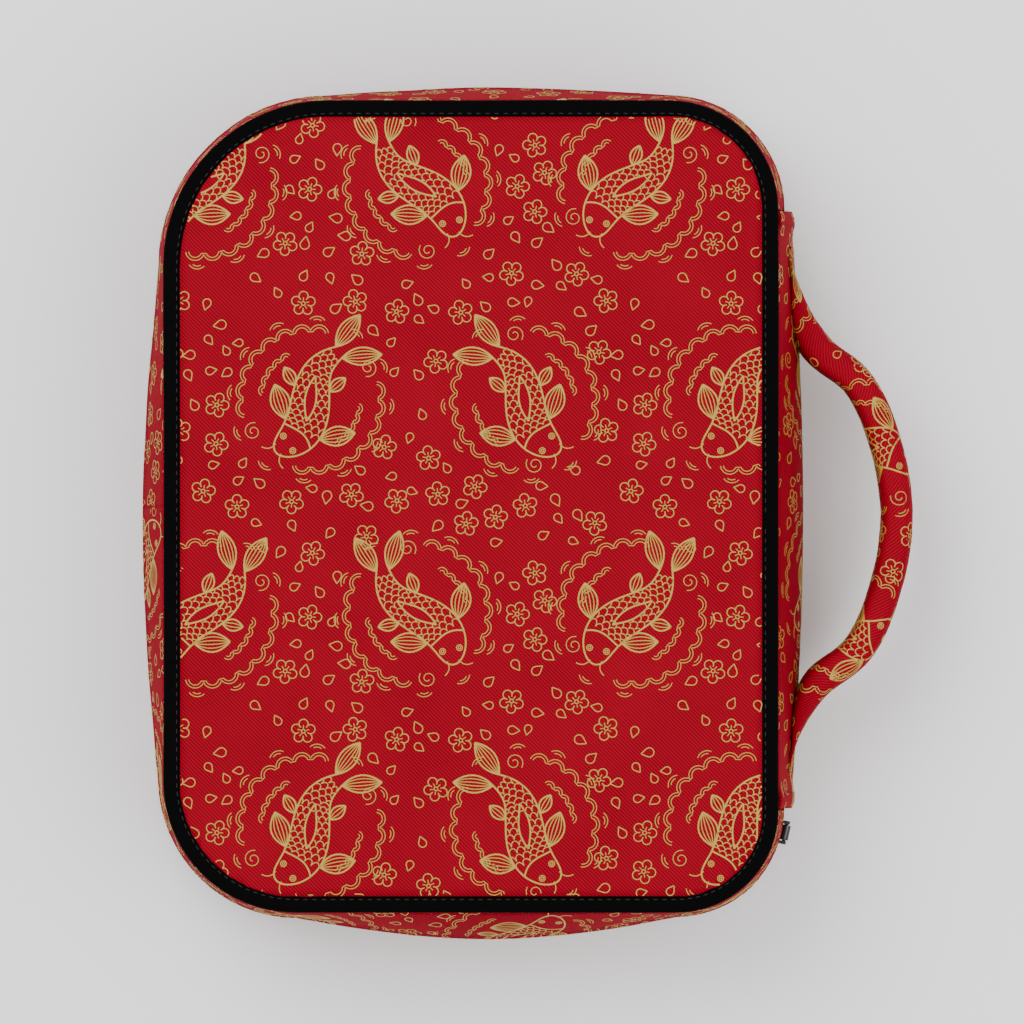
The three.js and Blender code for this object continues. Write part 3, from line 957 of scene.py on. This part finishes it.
class BOOK_COVER_OT_zip(bpy.types.Operator):
    """Make the zip's tapes, teeth, slider and puller"""

    bl_idname = "book_cover.zip"
    bl_label = "Zip"
    bl_options = {"REGISTER", "UNDO"}

    def execute(self, context):
        for half in HALVES:
            for run in RUNS:
                make_tape(half, run)
                make_coil(half, run)
        for node, body in (("zip_slider", "slider"), ("zip_puller", "puller")):
            bm = bmesh.new()
            bm.from_mesh(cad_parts[node].data)
            bmesh.ops.remove_doubles(bm, verts=bm.verts, dist=0.01 * MM)
            bmesh.ops.dissolve_limit(bm, angle_limit=math.radians(1), verts=bm.verts, edges=bm.edges)
            obj = piece("cast_" + node, bm, "slider_metal")
            soften(obj, 0.16 * MM, 3)
            stand_for(obj, body, node)
        return {"FINISHED"}


# ---- spine ----


def spine_fold(y):
    """The spine's ends are folded under, so that they stand a little higher."""
    margin = min(y - spine_low.y, spine_high.y - y)
    return 0.9 * MM * (1 - min(max((margin - 4 * MM) / (3 * MM), 0), 1)) * min(0.35 + margin / (2 * MM), 1)


def spine_face(y, z):
    """How far out the spine's cloth stands."""
    return sizes().width / 2 + spine_bulge(0, y) * swell_at(z) + spine_fold(y)


def make_spine_cloth(half):
    """Half of the spine's printed cloth, from where it is sewn to its cover to mid depth."""
    s = sizes()
    rows = [s.binding_high - 0.2 * MM + (s.depth / 2 - s.binding_high + 0.2 * MM) * i / 12 for i in range(13)]
    line = spine_line()
    bm = sweep(line, [(0.0, in_half(half, z)) for z in rows], fold=spine_fold)
    lay_uv(bm)
    obj = piece(f"spine_{half}_cloth", bm, "printed_fabric")
    thicken(obj, CLOTH)
    near, far = in_half(half, s.binding_high), in_half(half, s.binding_high + 5 * MM)
    motion = (half, "spine", (s.width / 2, 0, near), (s.width / 2, 0, far))
    stand_for(obj, motion, "spine_fabric")
    printed(obj, motion, shift=(0.02, 0.03 if half == "back" else 0.06))


def make_spine_layer(name, node, finish, slot):
    """A layer behind the spine's cloth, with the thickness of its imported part."""
    s = sizes()
    outer, inner = (-1.5 * MM, -4.0 * MM) if slot == "foam" else (-4.3 * MM, -5.1 * MM)
    low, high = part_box(node)
    rows = [low.z + (high.z - low.z) * i / 12 for i in range(13)]
    profile = [(outer, z) for z in rows] + [(inner, z) for z in reversed(rows)]
    bm = sweep(spine_line(), profile, closed=True)
    if slot == "foam":
        for y, way in ((spine_high.y, 1), (spine_low.y, -1)):
            clear_beyond(bm, (0, y - way * s.foam_inset, 0), (0, way, 0), 1e-6)
    bmesh.ops.holes_fill(bm, edges=bm.edges, sides=0)
    bmesh.ops.recalc_face_normals(bm, faces=bm.faces)
    lay_uv(bm)
    obj = piece(name, bm, finish)
    stand_for(obj, "spine", node)
    return obj


class BOOK_COVER_OT_spine(bpy.types.Operator):
    """Make the spine: printed cloth with folded ends, foam and lining"""

    bl_idname = "book_cover.spine"
    bl_label = "Spine"
    bl_options = {"REGISTER", "UNDO"}

    def execute(self, context):
        s = sizes()
        for half in HALVES:
            make_spine_cloth(half)
        foam = make_spine_layer("spine_soft_foam", "spine_foam", "foam", "foam")
        lining = make_spine_layer("spine_sewn_lining", "spine_lining", "lining_fabric", "lining_fabric")
        for end, y in (("top", spine_high.y - 4.6 * MM), ("bottom", spine_low.y + 4.6 * MM)):
            row = []
            z = s.binding_high + 3 * MM
            while z < s.depth - s.binding_high - 3 * MM:
                row.append((Vector((spine_face(y, z), y, z)), Vector((0, 0, 1))))
                z += s.stitch_pitch
            stitch_row(f"spine_{end}_stitches", row, "red_thread", "spine")
        return {"FINISHED"}


# ---- handle ----

# How square the strap's section is across its thickness and across its width. 1 is a circle.
FACE_POWER, EDGE_POWER = 0.62, 0.36


def rounded_line(points, count):
    """Even places on a smooth curve through points, each as (place, direction)."""
    ends = [2 * points[0] - points[1], *points, 2 * points[-1] - points[-2]]
    dense = []
    for a, b, c, d in zip(ends, ends[1:], ends[2:], ends[3:]):
        t = [0.0]
        for p, q in ((a, b), (b, c), (c, d)):
            t.append(t[-1] + math.sqrt((q - p).length))
        for i in range(24):
            u = t[1] + (t[2] - t[1]) * i / 24
            ab = a.lerp(b, (u - t[0]) / (t[1] - t[0]))
            bc = b.lerp(c, (u - t[1]) / (t[2] - t[1]))
            cd = c.lerp(d, (u - t[2]) / (t[3] - t[2]))
            abc = ab.lerp(bc, (u - t[0]) / (t[2] - t[0]))
            bcd = bc.lerp(cd, (u - t[1]) / (t[3] - t[1]))
            dense.append(abc.lerp(bcd, (u - t[1]) / (t[2] - t[1])))
    dense.append(points[-1])
    travelled = [0.0]
    for p, q in zip(dense, dense[1:]):
        travelled.append(travelled[-1] + (q - p).length)
    found, i = [], 0
    for step in range(count + 1):
        want = travelled[-1] * step / count
        while i < len(dense) - 2 and travelled[i + 1] < want:
            i += 1
        share = (want - travelled[i]) / (travelled[i + 1] - travelled[i])
        ahead = (dense[i + 1] - dense[i]).normalized()
        found.append((dense[i].lerp(dense[i + 1], share), ahead))
    return found, travelled[-1]


def handle_line(count):
    """The strap's middle line: flat on the spine at each foot, then out in one arch."""
    s, h = sizes(), bpy.context.scene.book_cover_handle

    def at(share, y):
        return Vector((s.width / 2 + spine_bulge(0, y) + share * h.reach, y, s.depth / 2))

    arch = ((0.04, 1.16), (0.2, 0.98), (0.62, 0.78), (0.89, 0.42))
    low = [at(share, h.centre - span * h.half_span) for share, span in arch]
    high = [at(share, h.centre + span * h.half_span) for share, span in reversed(arch)]
    first, last = at(-0.06, spine_low.y + h.end_margin), at(-0.06, spine_high.y - h.end_margin)
    return rounded_line([first, *low, at(1, h.centre), *high, last], count)


def rounded(part, power):
    """A circle's sine or cosine, raised to a power, which squares the circle's corners."""
    return math.copysign(abs(part) ** power, part)


def padding(from_end):
    """How full the strap is at a distance from its end, from 0 to 1, and half its thickness there."""
    h = bpy.context.scene.book_cover_handle
    full = min(max(from_end / h.taper, 0), 1)
    return full, max(h.thickness / 2 * full * full * (3 - 2 * full), LEAST_PADDING)


def strap(name, grow, finish, count=96, sides=40, trim=0.0):
    """The strap's section, carried along its line but for trim of it at each end, and thin at its ends."""
    h = bpy.context.scene.book_cover_handle
    line, whole = handle_line(count)
    bm = bmesh.new()
    notes = notes_of(bm)
    bmesh.ops.create_circle(bm, segments=sides, radius=1.0)
    for vert in bm.verts:
        vert[notes["foot"]] = vert.co
    around = sorted(bm.verts, key=lambda v: math.atan2(v.co.y, v.co.x))
    flat = [
        (rounded(v.co.x, FACE_POWER) * h.thickness / 2, rounded(v.co.y, EDGE_POWER) * h.width / 2) for v in around
    ]
    girth = 0.0
    for i, vert in enumerate(around):
        girth += math.dist(flat[i], flat[i - 1]) if i else 0.0
        vert[notes["across"]] = girth
    girth += math.dist(flat[0], flat[-1])

    def place(verts, i):
        middle, ahead = line[i]
        out = Vector((ahead.y, -ahead.x, 0))
        full, half_thick = padding(min(i, count - i) / count * whole)
        half_thick += grow
        half_wide = h.width / 2 + grow
        for vert in verts:
            c, d = vert[notes["foot"]].x, vert[notes["foot"]].y
            thick = rounded(c, FACE_POWER) * half_thick
            wide = rounded(d, EDGE_POWER) * half_wide
            if grow == 0:
                seam = math.exp(-(((c - 0.46) / 0.1) ** 2)) * (1 if abs(d) > 0.5 else 0)
                wide -= math.copysign(0.55 * MM * seam * full, d)
                crease = noise.noise(Vector((middle.y * 60, c * 2, d * 2))) * 0.3 * MM * full
                thick += math.copysign(crease, c)
            vert.co = middle + out * thick + Vector((0, 0, wide))
            clear = spine_face(vert.co.y, vert.co.z) + (0.1 * MM if grow == 0 else 0.9 * MM)
            vert.co.x = max(vert.co.x, clear)
            vert[notes["along"]] = i / count * whole

    first = round(count * trim)
    place(bm.verts, first)
    ring = bm.edges[:]
    for i in range(first + 1, count - first + 1):
        verts, ring = next_row(bm, ring)
        place(verts, i)
    bmesh.ops.holes_fill(bm, edges=bm.edges, sides=0)
    bmesh.ops.recalc_face_normals(bm, faces=bm.faces)
    uv = bm.loops.layers.uv.new("UVMap")
    for face in bm.faces:
        far = max(v[notes["across"]] for v in face.verts)
        for loop in face.loops:
            across = loop.vert[notes["across"]]
            if far - across > girth / 2:
                across += girth
            loop[uv].uv = (loop.vert[notes["along"]], across)
    obj = piece(name, bm, finish)
    attach(obj, "spine")
    return obj


class BOOK_COVER_OT_handle(bpy.types.Operator):
    """Make the padded carry handle, its core and its stitched feet"""

    bl_idname = "book_cover.handle"
    bl_label = "Carry Handle"
    bl_options = {"REGISTER", "UNDO"}

    def execute(self, context):
        s, h = sizes(), context.scene.book_cover_handle
        cover = strap("padded_handle", 0.0, "printed_fabric")
        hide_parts("handle_cover")
        printed(cover, "spine", shift=(0.03, 0.02))
        core = strap("handle_soft_core", -1.5 * MM, "foam", 60, 20, 0.14)
        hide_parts("handle_core")
        line, whole = handle_line(200)
        for end, rows in (("bottom", line), ("top", line[::-1])):
            row = []
            for inset in (3 * MM, 15 * MM):
                middle, ahead = rows[round(inset / whole * 200)]
                out = Vector((abs(ahead.y), 0, 0))
                thick = padding(inset)[1]
                z = -h.width / 2 + 3 * MM
                while z < h.width / 2 - 2 * MM:
                    row.append((middle + out * (thick - 0.05 * MM) + Vector((0, 0, z)), Vector((0, 0, 1))))
                    z += s.stitch_pitch
            stitch_row(f"handle_{end}_stitches", row, "red_thread", "spine")
        return {"FINISHED"}


# ---- gold print ----
# A print is a list of strokes, each (points, weight), in millimetres. Weight 0 is fine and 2 is bold.


def arc(x, y, radius, start, end, steps=8):
    angles = [math.radians(start + (end - start) * i / steps) for i in range(steps + 1)]
    return [(x + radius * math.cos(a), y + radius * math.sin(a)) for a in angles]


def bow(a, b, rise, steps=8):
    """A shallow curve from a to b that stands rise to the left of its chord."""
    (ax, ay), (bx, by) = a, b
    found = []
    for i in range(steps + 1):
        t = i / steps
        lift = 4 * t * (1 - t) * rise / max(math.dist(a, b), 1e-6)
        found.append((ax + (bx - ax) * t - (by - ay) * lift, ay + (by - ay) * t + (bx - ax) * lift))
    return found


def leaf(a, b, width, weight=2, ribs=0):
    """A pointed leaf from a to b, with ribs that meet at both ends."""
    strokes = [(bow(a, b, width / 2), weight), (bow(a, b, -width / 2), weight)]
    for i in range(ribs):
        lean = width * ((i + 1) / (ribs + 1) - 0.5)
        strokes.append((bow(a, b, lean), 1))
    return strokes


def blossom(x, y, radius, turn):
    """Five round petals about a ring, each with a stamen."""
    strokes = [(arc(x, y, radius * 0.16, 0, 360, 8), 1)]
    for i in range(5):
        angle = turn + 72 * i
        a = math.radians(angle)
        px, py = x + radius * 0.62 * math.cos(a), y + radius * 0.62 * math.sin(a)
        strokes.append((arc(px, py, radius * 0.38, angle - 145, angle + 145, 9), 1))
        strokes.append(([(x + radius * r * math.cos(a), y + radius * r * math.sin(a)) for r in (0.22, 0.5)], 0))
    return strokes


def petal(x, y, size, turn):
    """A loose petal, round at one end and pointed at the other."""
    a = math.radians(turn)
    tip = (x + 0.7 * size * math.cos(a), y + 0.7 * size * math.sin(a))
    return [([tip, *arc(x, y, size * 0.38, turn + 60, turn + 300, 8), tip], 1)]


def ripple(x, y, radius, turn):
    """Two short arcs, one inside the other."""
    return [(arc(x, y, radius * part, turn - 50 * part, turn + 50 * part, 7), 0) for part in (1.0, 0.7)]


def cloud(radius, start, end, puffs):
    """A double row of even scallops round part of a circle."""
    strokes = []
    span = (end - start) / puffs
    for inset in (0.0, 0.9):
        line = []
        for i in range(puffs):
            face = start + span * (i + 0.5)
            a = math.radians(face)
            size = radius * math.radians(span) / 2 * 1.1
            line += arc(radius * math.cos(a), radius * math.sin(a), size - inset, face - 75, face + 75, 7)
        strokes.append((line, 0))
    return strokes


def swirl(x, y, radius, start, turns):
    steps = round(14 * turns)
    found = []
    for i in range(steps + 1):
        a = math.radians(start) + 2 * math.pi * turns * i / steps
        r = radius * (1 - 0.8 * i / steps)
        found.append((x + r * math.cos(a), y + r * math.sin(a)))
    return [(found, 0)]


def koi(long, wide, sway):
    """A koi from above, along X with its head first, its two sides alike and its body in one S."""
    tail_root = 0.94

    def middle(share):
        return long * (share - 0.5), sway * math.sin(2 * math.pi * share)

    def half_width(share):
        return wide / 2 * max(math.sin(math.pi * min(share, 1) ** 0.62), 0.0) ** 0.8 + wide * 0.08 * share

    def heading(share):
        return math.atan2(2 * math.pi * sway * math.cos(2 * math.pi * share), long)

    def at(share, side):
        x, y = middle(share)
        turn, reach = heading(share), side * half_width(share)
        return x - reach * math.sin(turn), y + reach * math.cos(turn)

    def fin(share, side, reach, length_, width, ribs):
        root = at(share, side)
        turn = heading(share) + side * reach
        tip = (root[0] + length_ * math.cos(turn), root[1] + length_ * math.sin(turn))
        return leaf(root, tip, width, 2, ribs)

    strokes = []
    for side in (1, -1):
        strokes.append(([at(tail_root * (i / 30) ** 1.5, side) for i in range(31)], 2))
        eye = at(0.11, 0.58 * side)
        strokes += [(arc(*eye, wide * size, 0, 360, 8), 1) for size in (0.08, 0.035)]
        nose = at(0.03, 0.7 * side)
        barbel = (nose[0] - wide * 0.28, nose[1] + side * wide * 0.26)
        strokes.append((bow(nose, barbel, side * wide * 0.08, 5), 1))
        strokes += fin(0.27, side, 0.85, wide * 0.95, wide * 0.5, 4)
        strokes += fin(0.58, side, 0.7, wide * 0.55, wide * 0.3, 2)
        strokes += fin(tail_root, side, 0.42, wide * 1.05, wide * 0.46, 4)
    strokes.append(([at(0.2 + 0.04 * math.cos(t * math.pi / 12), t / 6) for t in range(-6, 7)], 2))
    ridge_from, ridge_long, ridge_wide = 0.34, 0.34, 0.3
    for bend in (1, -1):
        lean = [bend * ridge_wide * math.sin(math.pi * i / 10) for i in range(11)]
        strokes.append(([at(ridge_from + ridge_long * i / 10, side) for i, side in enumerate(lean)], 2))
    rows = 15
    for i in range(rows):
        share = 0.25 + 0.66 * i / rows
        across = 5 if i < 10 else 3
        for j in range(across + i % 2):
            side = -1 + (2 * j + 1 - i % 2) / across
            line = []
            for turn in range(-90, 91, 30):
                place = side + math.sin(math.radians(turn)) / across
                back = share + 0.035 * math.cos(math.radians(turn))
                ridge = ridge_wide * math.sin(math.pi * (back - ridge_from) / ridge_long)
                on_ridge = ridge_from < back < ridge_from + ridge_long and abs(place) < ridge
                if abs(place) <= 1.001 and not on_ridge:
                    line.append(at(back, place))
            if len(line) > 2:
                strokes.append((line, 1))
    return strokes


def water(radius):
    """Clouds and ripples at even angles about a fish."""
    strokes = []
    for start in (20, 200):
        strokes += cloud(radius, start, start + 120, 8)
        strokes += cloud(radius * 0.72, start + 40, start + 100, 5)
        a = math.radians(start + 134)
        strokes += swirl(radius * math.cos(a), radius * math.sin(a), radius * 0.14, start, 1.5)
    for turn in range(0, 360, 30):
        a = math.radians(turn)
        strokes += ripple(radius * 1.12 * math.cos(a), radius * 1.12 * math.sin(a), radius * 0.15, turn)
    return strokes


def placed(strokes, x, y, turn):
    c, s = math.cos(math.radians(turn)), math.sin(math.radians(turn))
    return [
        ([(x + c * px - s * py, y + s * px + c * py) for px, py in points], weight)
        for points, weight in strokes
    ]


def print_tile(side):
    """One square of the print: koi on a brick layout that lean each way in turn, and blossom between."""
    rng = random.Random(5)
    motif = side / 6.5
    blossom_radius, blossom_apart, petal_clear, petal_apart = 3.7, 8.4, 5.9, 4.6
    most_blossom, most_petals, tries = 34, 84, 6000
    places = [
        (side * (i / 2 + (1 + 2 * row) / 8), side * (1 + 2 * row) / 4) for row in range(2) for i in range(2)
    ]
    strokes, flowers, scraps = [], [], []
    for i, (x, y) in enumerate(places):
        turn = 90 + 35 * (-1) ** (i + i // 2)
        fish = koi(motif * 1.9, motif * 0.58, motif * 0.16 * (-1) ** i)
        strokes += placed(fish + water(motif), x, y, turn)

    def apart(x, y, others, least):
        for ox, oy in others:
            dx, dy = (x - ox + side / 2) % side - side / 2, (y - oy + side / 2) % side - side / 2
            if math.hypot(dx, dy) < least:
                return False
        return True

    for _ in range(tries):
        x, y = rng.uniform(0, side), rng.uniform(0, side)
        if not apart(x, y, places, motif * 1.3):
            continue
        turn = rng.uniform(0, 360)
        if len(flowers) < most_blossom and apart(x, y, flowers, blossom_apart):
            flowers.append((x, y))
            strokes += blossom(x, y, blossom_radius, turn)
            continue
        clear = apart(x, y, flowers, petal_clear) and apart(x, y, scraps, petal_apart)
        if clear and len(scraps) < most_petals:
            scraps.append((x, y))
            strokes += petal(x, y, rng.uniform(3.0, 3.8), turn)
    return strokes


def cloth_map(obj, facing):
    """The printed side of a piece: a search by UV place, and what each UV triangle is in space."""
    mesh = obj.data
    mesh.calc_loop_triangles()
    uv = mesh.uv_layers.active.data
    flat, solid = [], []
    for triangle in mesh.loop_triangles:
        if facing and mesh.polygons[triangle.polygon_index].normal.z * facing < 0.6:
            continue
        flat.append([Vector((*uv[i].uv, 0)) for i in triangle.loops])
        solid.append([mesh.vertices[i] for i in triangle.vertices])
    corners_of = [p for corner in flat for p in corner]
    tree = BVHTree.FromPolygons(corners_of, [(3 * i, 3 * i + 1, 3 * i + 2) for i in range(len(flat))])

    def on_cloth(place, height):
        _, _, index, _ = tree.ray_cast(Vector((place.x, place.y, 1)), Vector((0, 0, -1)))
        if index is None:
            return None
        a, b, c = solid[index]
        point = barycentric_transform(Vector((place.x, place.y, 0)), *flat[index], a.co, b.co, c.co)
        normal = barycentric_transform(Vector((place.x, place.y, 0)), *flat[index], a.normal, b.normal, c.normal)
        return point + normal.normalized() * height

    low = Vector((min(p.x for p in corners_of), min(p.y for p in corners_of)))
    high = Vector((max(p.x for p in corners_of), max(p.y for p in corners_of)))
    return on_cloth, low, high


def resampled(points, step):
    """The same line in pieces no longer than step."""
    found = [points[0]]
    for a, b in zip(points, points[1:]):
        cuts = max(1, math.ceil(math.dist(a, b) / step))
        for i in range(1, cuts + 1):
            found.append((a[0] + (b[0] - a[0]) * i / cuts, a[1] + (b[1] - a[1]) * i / cuts))
    return found


def lay_print(strokes, obj, motion, shift, facing):
    """Draws every stroke that falls on a piece as a thin gold ribbon that follows the cloth."""
    look = bpy.context.scene.book_cover_print
    on_cloth, low, high = cloth_map(obj, facing)
    tile = look.repeat
    margin = 0.25 * tile
    bm = bmesh.new()
    place_note = bm.verts.layers.float_vector.new("place")
    side_note = bm.verts.layers.float_vector.new("side")
    widths = (look.fine, look.medium, look.bold)
    columns, rows = (
        range(
            math.floor((low[axis] - shift[axis] - margin) / tile) - 1,
            math.ceil((high[axis] - shift[axis] + margin) / tile) + 1,
        )
        for axis in (0, 1)
    )
    for column in columns:
        for row in rows:
            x0, y0 = shift[0] + column * tile, shift[1] + row * tile
            for order, (points, weight) in enumerate(strokes):
                line = [(x0 + x * MM, y0 + y * MM) for x, y in points]
                if max(p[0] for p in line) < low.x or min(p[0] for p in line) > high.x:
                    continue
                if max(p[1] for p in line) < low.y or min(p[1] for p in line) > high.y:
                    continue
                line = resampled(line, look.step)
                half = widths[weight] / 2
                lift = 0.02 * MM + 0.005 * MM * (order % 9)
                before = None
                for i, point in enumerate(line):
                    back, ahead = line[max(i - 1, 0)], line[min(i + 1, len(line) - 1)]
                    along = Vector((ahead[0] - back[0], ahead[1] - back[1]))
                    if along.length < 1e-9:
                        continue
                    along.normalize()
                    vert = bm.verts.new((*point, 0))
                    vert[place_note] = (*point, lift)
                    vert[side_note] = (-along.y * half, along.x * half, 0)
                    if before:
                        bm.edges.new((before, vert))
                    before = vert
    across, _ = next_row(bm, bm.edges[:])
    off = []
    for vert in bm.verts:
        side = vert[side_note] if vert in across else -vert[side_note]
        point = on_cloth(vert[place_note] + side, vert[place_note].z)
        if point is None:
            off.append(vert)
        else:
            vert.co = point
    bmesh.ops.delete(bm, geom=off, context="VERTS")
    loose = [v for v in bm.verts if not v.link_faces]
    bmesh.ops.delete(bm, geom=loose, context="VERTS")
    bm.normal_update()
    ribbon = piece(obj.name + "_gold_print", bm, "gold")
    flip_inward_faces(ribbon, obj)
    ribbon.data.shade_flat()
    thicken(ribbon, look.raised, 1.0)
    attach(ribbon, motion)


def flip_inward_faces(ribbon, obj):
    """Turns each ribbon's faces the way of the cloth under them."""
    bm = bmesh.new()
    bm.from_mesh(obj.data)
    tree = BVHTree.FromBMesh(bm)
    bm.free()
    bm = bmesh.new()
    bm.from_mesh(ribbon.data)
    bm.normal_update()
    wrong = [f for f in bm.faces if f.normal.dot(tree.find_nearest(f.calc_center_median())[1]) < 0]
    bmesh.ops.reverse_faces(bm, faces=wrong)
    bm.to_mesh(ribbon.data)
    bm.free()


class BOOK_COVER_OT_print(bpy.types.Operator):
    """Lay the gold koi, clouds and blossom over every piece of printed cloth"""

    bl_idname = "book_cover.print"
    bl_label = "Gold Print"
    bl_options = {"REGISTER", "UNDO"}

    def execute(self, context):
        if not PRINTED:
            raise RuntimeError("sew the covers, gusset, spine and handle before the print")
        strokes = print_tile(context.scene.book_cover_print.repeat / MM)
        for obj, motion, shift, facing in PRINTED:
            lay_print(strokes, obj, motion, shift, facing)
        return {"FINISHED"}


# ---- stage ----


def softbox(name, place, size, power):
    data = bpy.data.lights.new(name, "AREA")
    data.shape = "DISK"
    data.size = size
    data.energy = power
    light = bpy.data.objects.new(name, data)
    light.location = place
    light.rotation_euler = (-Vector(place)).to_track_quat("-Z", "Y").to_euler()
    bpy.context.scene.collection.objects.link(light)


class BOOK_COVER_OT_stage(bpy.types.Operator):
    """Make a pale floor, soft lights and a camera straight above"""

    bl_idname = "book_cover.stage"
    bl_label = "Stage"
    bl_options = {"REGISTER", "UNDO"}

    def execute(self, context):
        bm = bmesh.new()
        bmesh.ops.create_grid(bm, x_segments=1, y_segments=1, size=3.0)
        mesh = bpy.data.meshes.new("floor")
        bm.to_mesh(mesh)
        bm.free()
        pale = Finish("pale_floor", Base_Color=(0.93, 0.93, 0.93, 1), Roughness=0.9)
        mesh.materials.append(pale.material)
        floor = bpy.data.objects.new("floor", mesh)
        context.scene.collection.objects.link(floor)
        softbox("key_light", (-0.7, 0.8, 1.6), 1.4, 28)
        softbox("fill_light", (0.9, -0.5, 1.4), 1.6, 15)
        world = bpy.data.worlds.new("studio")
        world.use_nodes = True
        world.node_tree.nodes["Background"].inputs["Color"].default_value = (1, 1, 1, 1)
        world.node_tree.nodes["Background"].inputs["Strength"].default_value = 1.05
        context.scene.world = world
        view = bpy.data.cameras.new("camera")
        across_view, height = 311.3 * MM, 6.0
        middle_x, middle_y = 12.46 * MM, -1.67 * MM
        view.sensor_width = 36
        view.lens = view.sensor_width * height / across_view
        camera = bpy.data.objects.new("camera", view)
        camera.location = (middle_x, middle_y, sizes().depth + height)
        context.scene.collection.objects.link(camera)
        context.scene.camera = camera
        return {"FINISHED"}


class BOOK_COVER_PT_sidebar(bpy.types.Panel):
    """The steps and sizes of the book cover"""

    bl_idname = "BOOK_COVER_PT_sidebar"
    bl_label = "Book Cover"
    bl_space_type = "VIEW_3D"
    bl_region_type = "UI"
    bl_category = "Book Cover"

    def draw(self, context):
        for step in STEPS:
            self.layout.operator(step.bl_idname)
        for group in GROUPS:
            values = getattr(context.scene, group)
            for name in values.__annotations__:
                self.layout.prop(values, name)


STEPS = (
    BOOK_COVER_OT_stage,
    BOOK_COVER_OT_covers,
    BOOK_COVER_OT_gusset,
    BOOK_COVER_OT_zip,
    BOOK_COVER_OT_spine,
    BOOK_COVER_OT_handle,
    BOOK_COVER_OT_print,
)
GROUPS = {
    "book_cover_sizes": BookCoverSizes,
    "book_cover_handle": BookCoverHandle,
    "book_cover_print": BookCoverPrint,
    "book_cover_colours": BookCoverColours,
}


def register():
    for name, group in GROUPS.items():
        bpy.utils.register_class(group)
        setattr(bpy.types.Scene, name, PointerProperty(type=group))
    for cls in (*STEPS, BOOK_COVER_PT_sidebar):
        bpy.utils.register_class(cls)


def unregister():
    for cls in (BOOK_COVER_PT_sidebar, *reversed(STEPS)):
        bpy.utils.unregister_class(cls)
    for name, group in GROUPS.items():
        delattr(bpy.types.Scene, name)
        bpy.utils.unregister_class(group)


def main():
    register()
    bpy.ops.book_cover.stage()
    bpy.ops.book_cover.covers()
    bpy.ops.book_cover.gusset()
    bpy.ops.book_cover.zip()
    bpy.ops.book_cover.spine()
    bpy.ops.book_cover.handle()
    bpy.ops.book_cover.print()


if __name__ == "__main__":
    main()
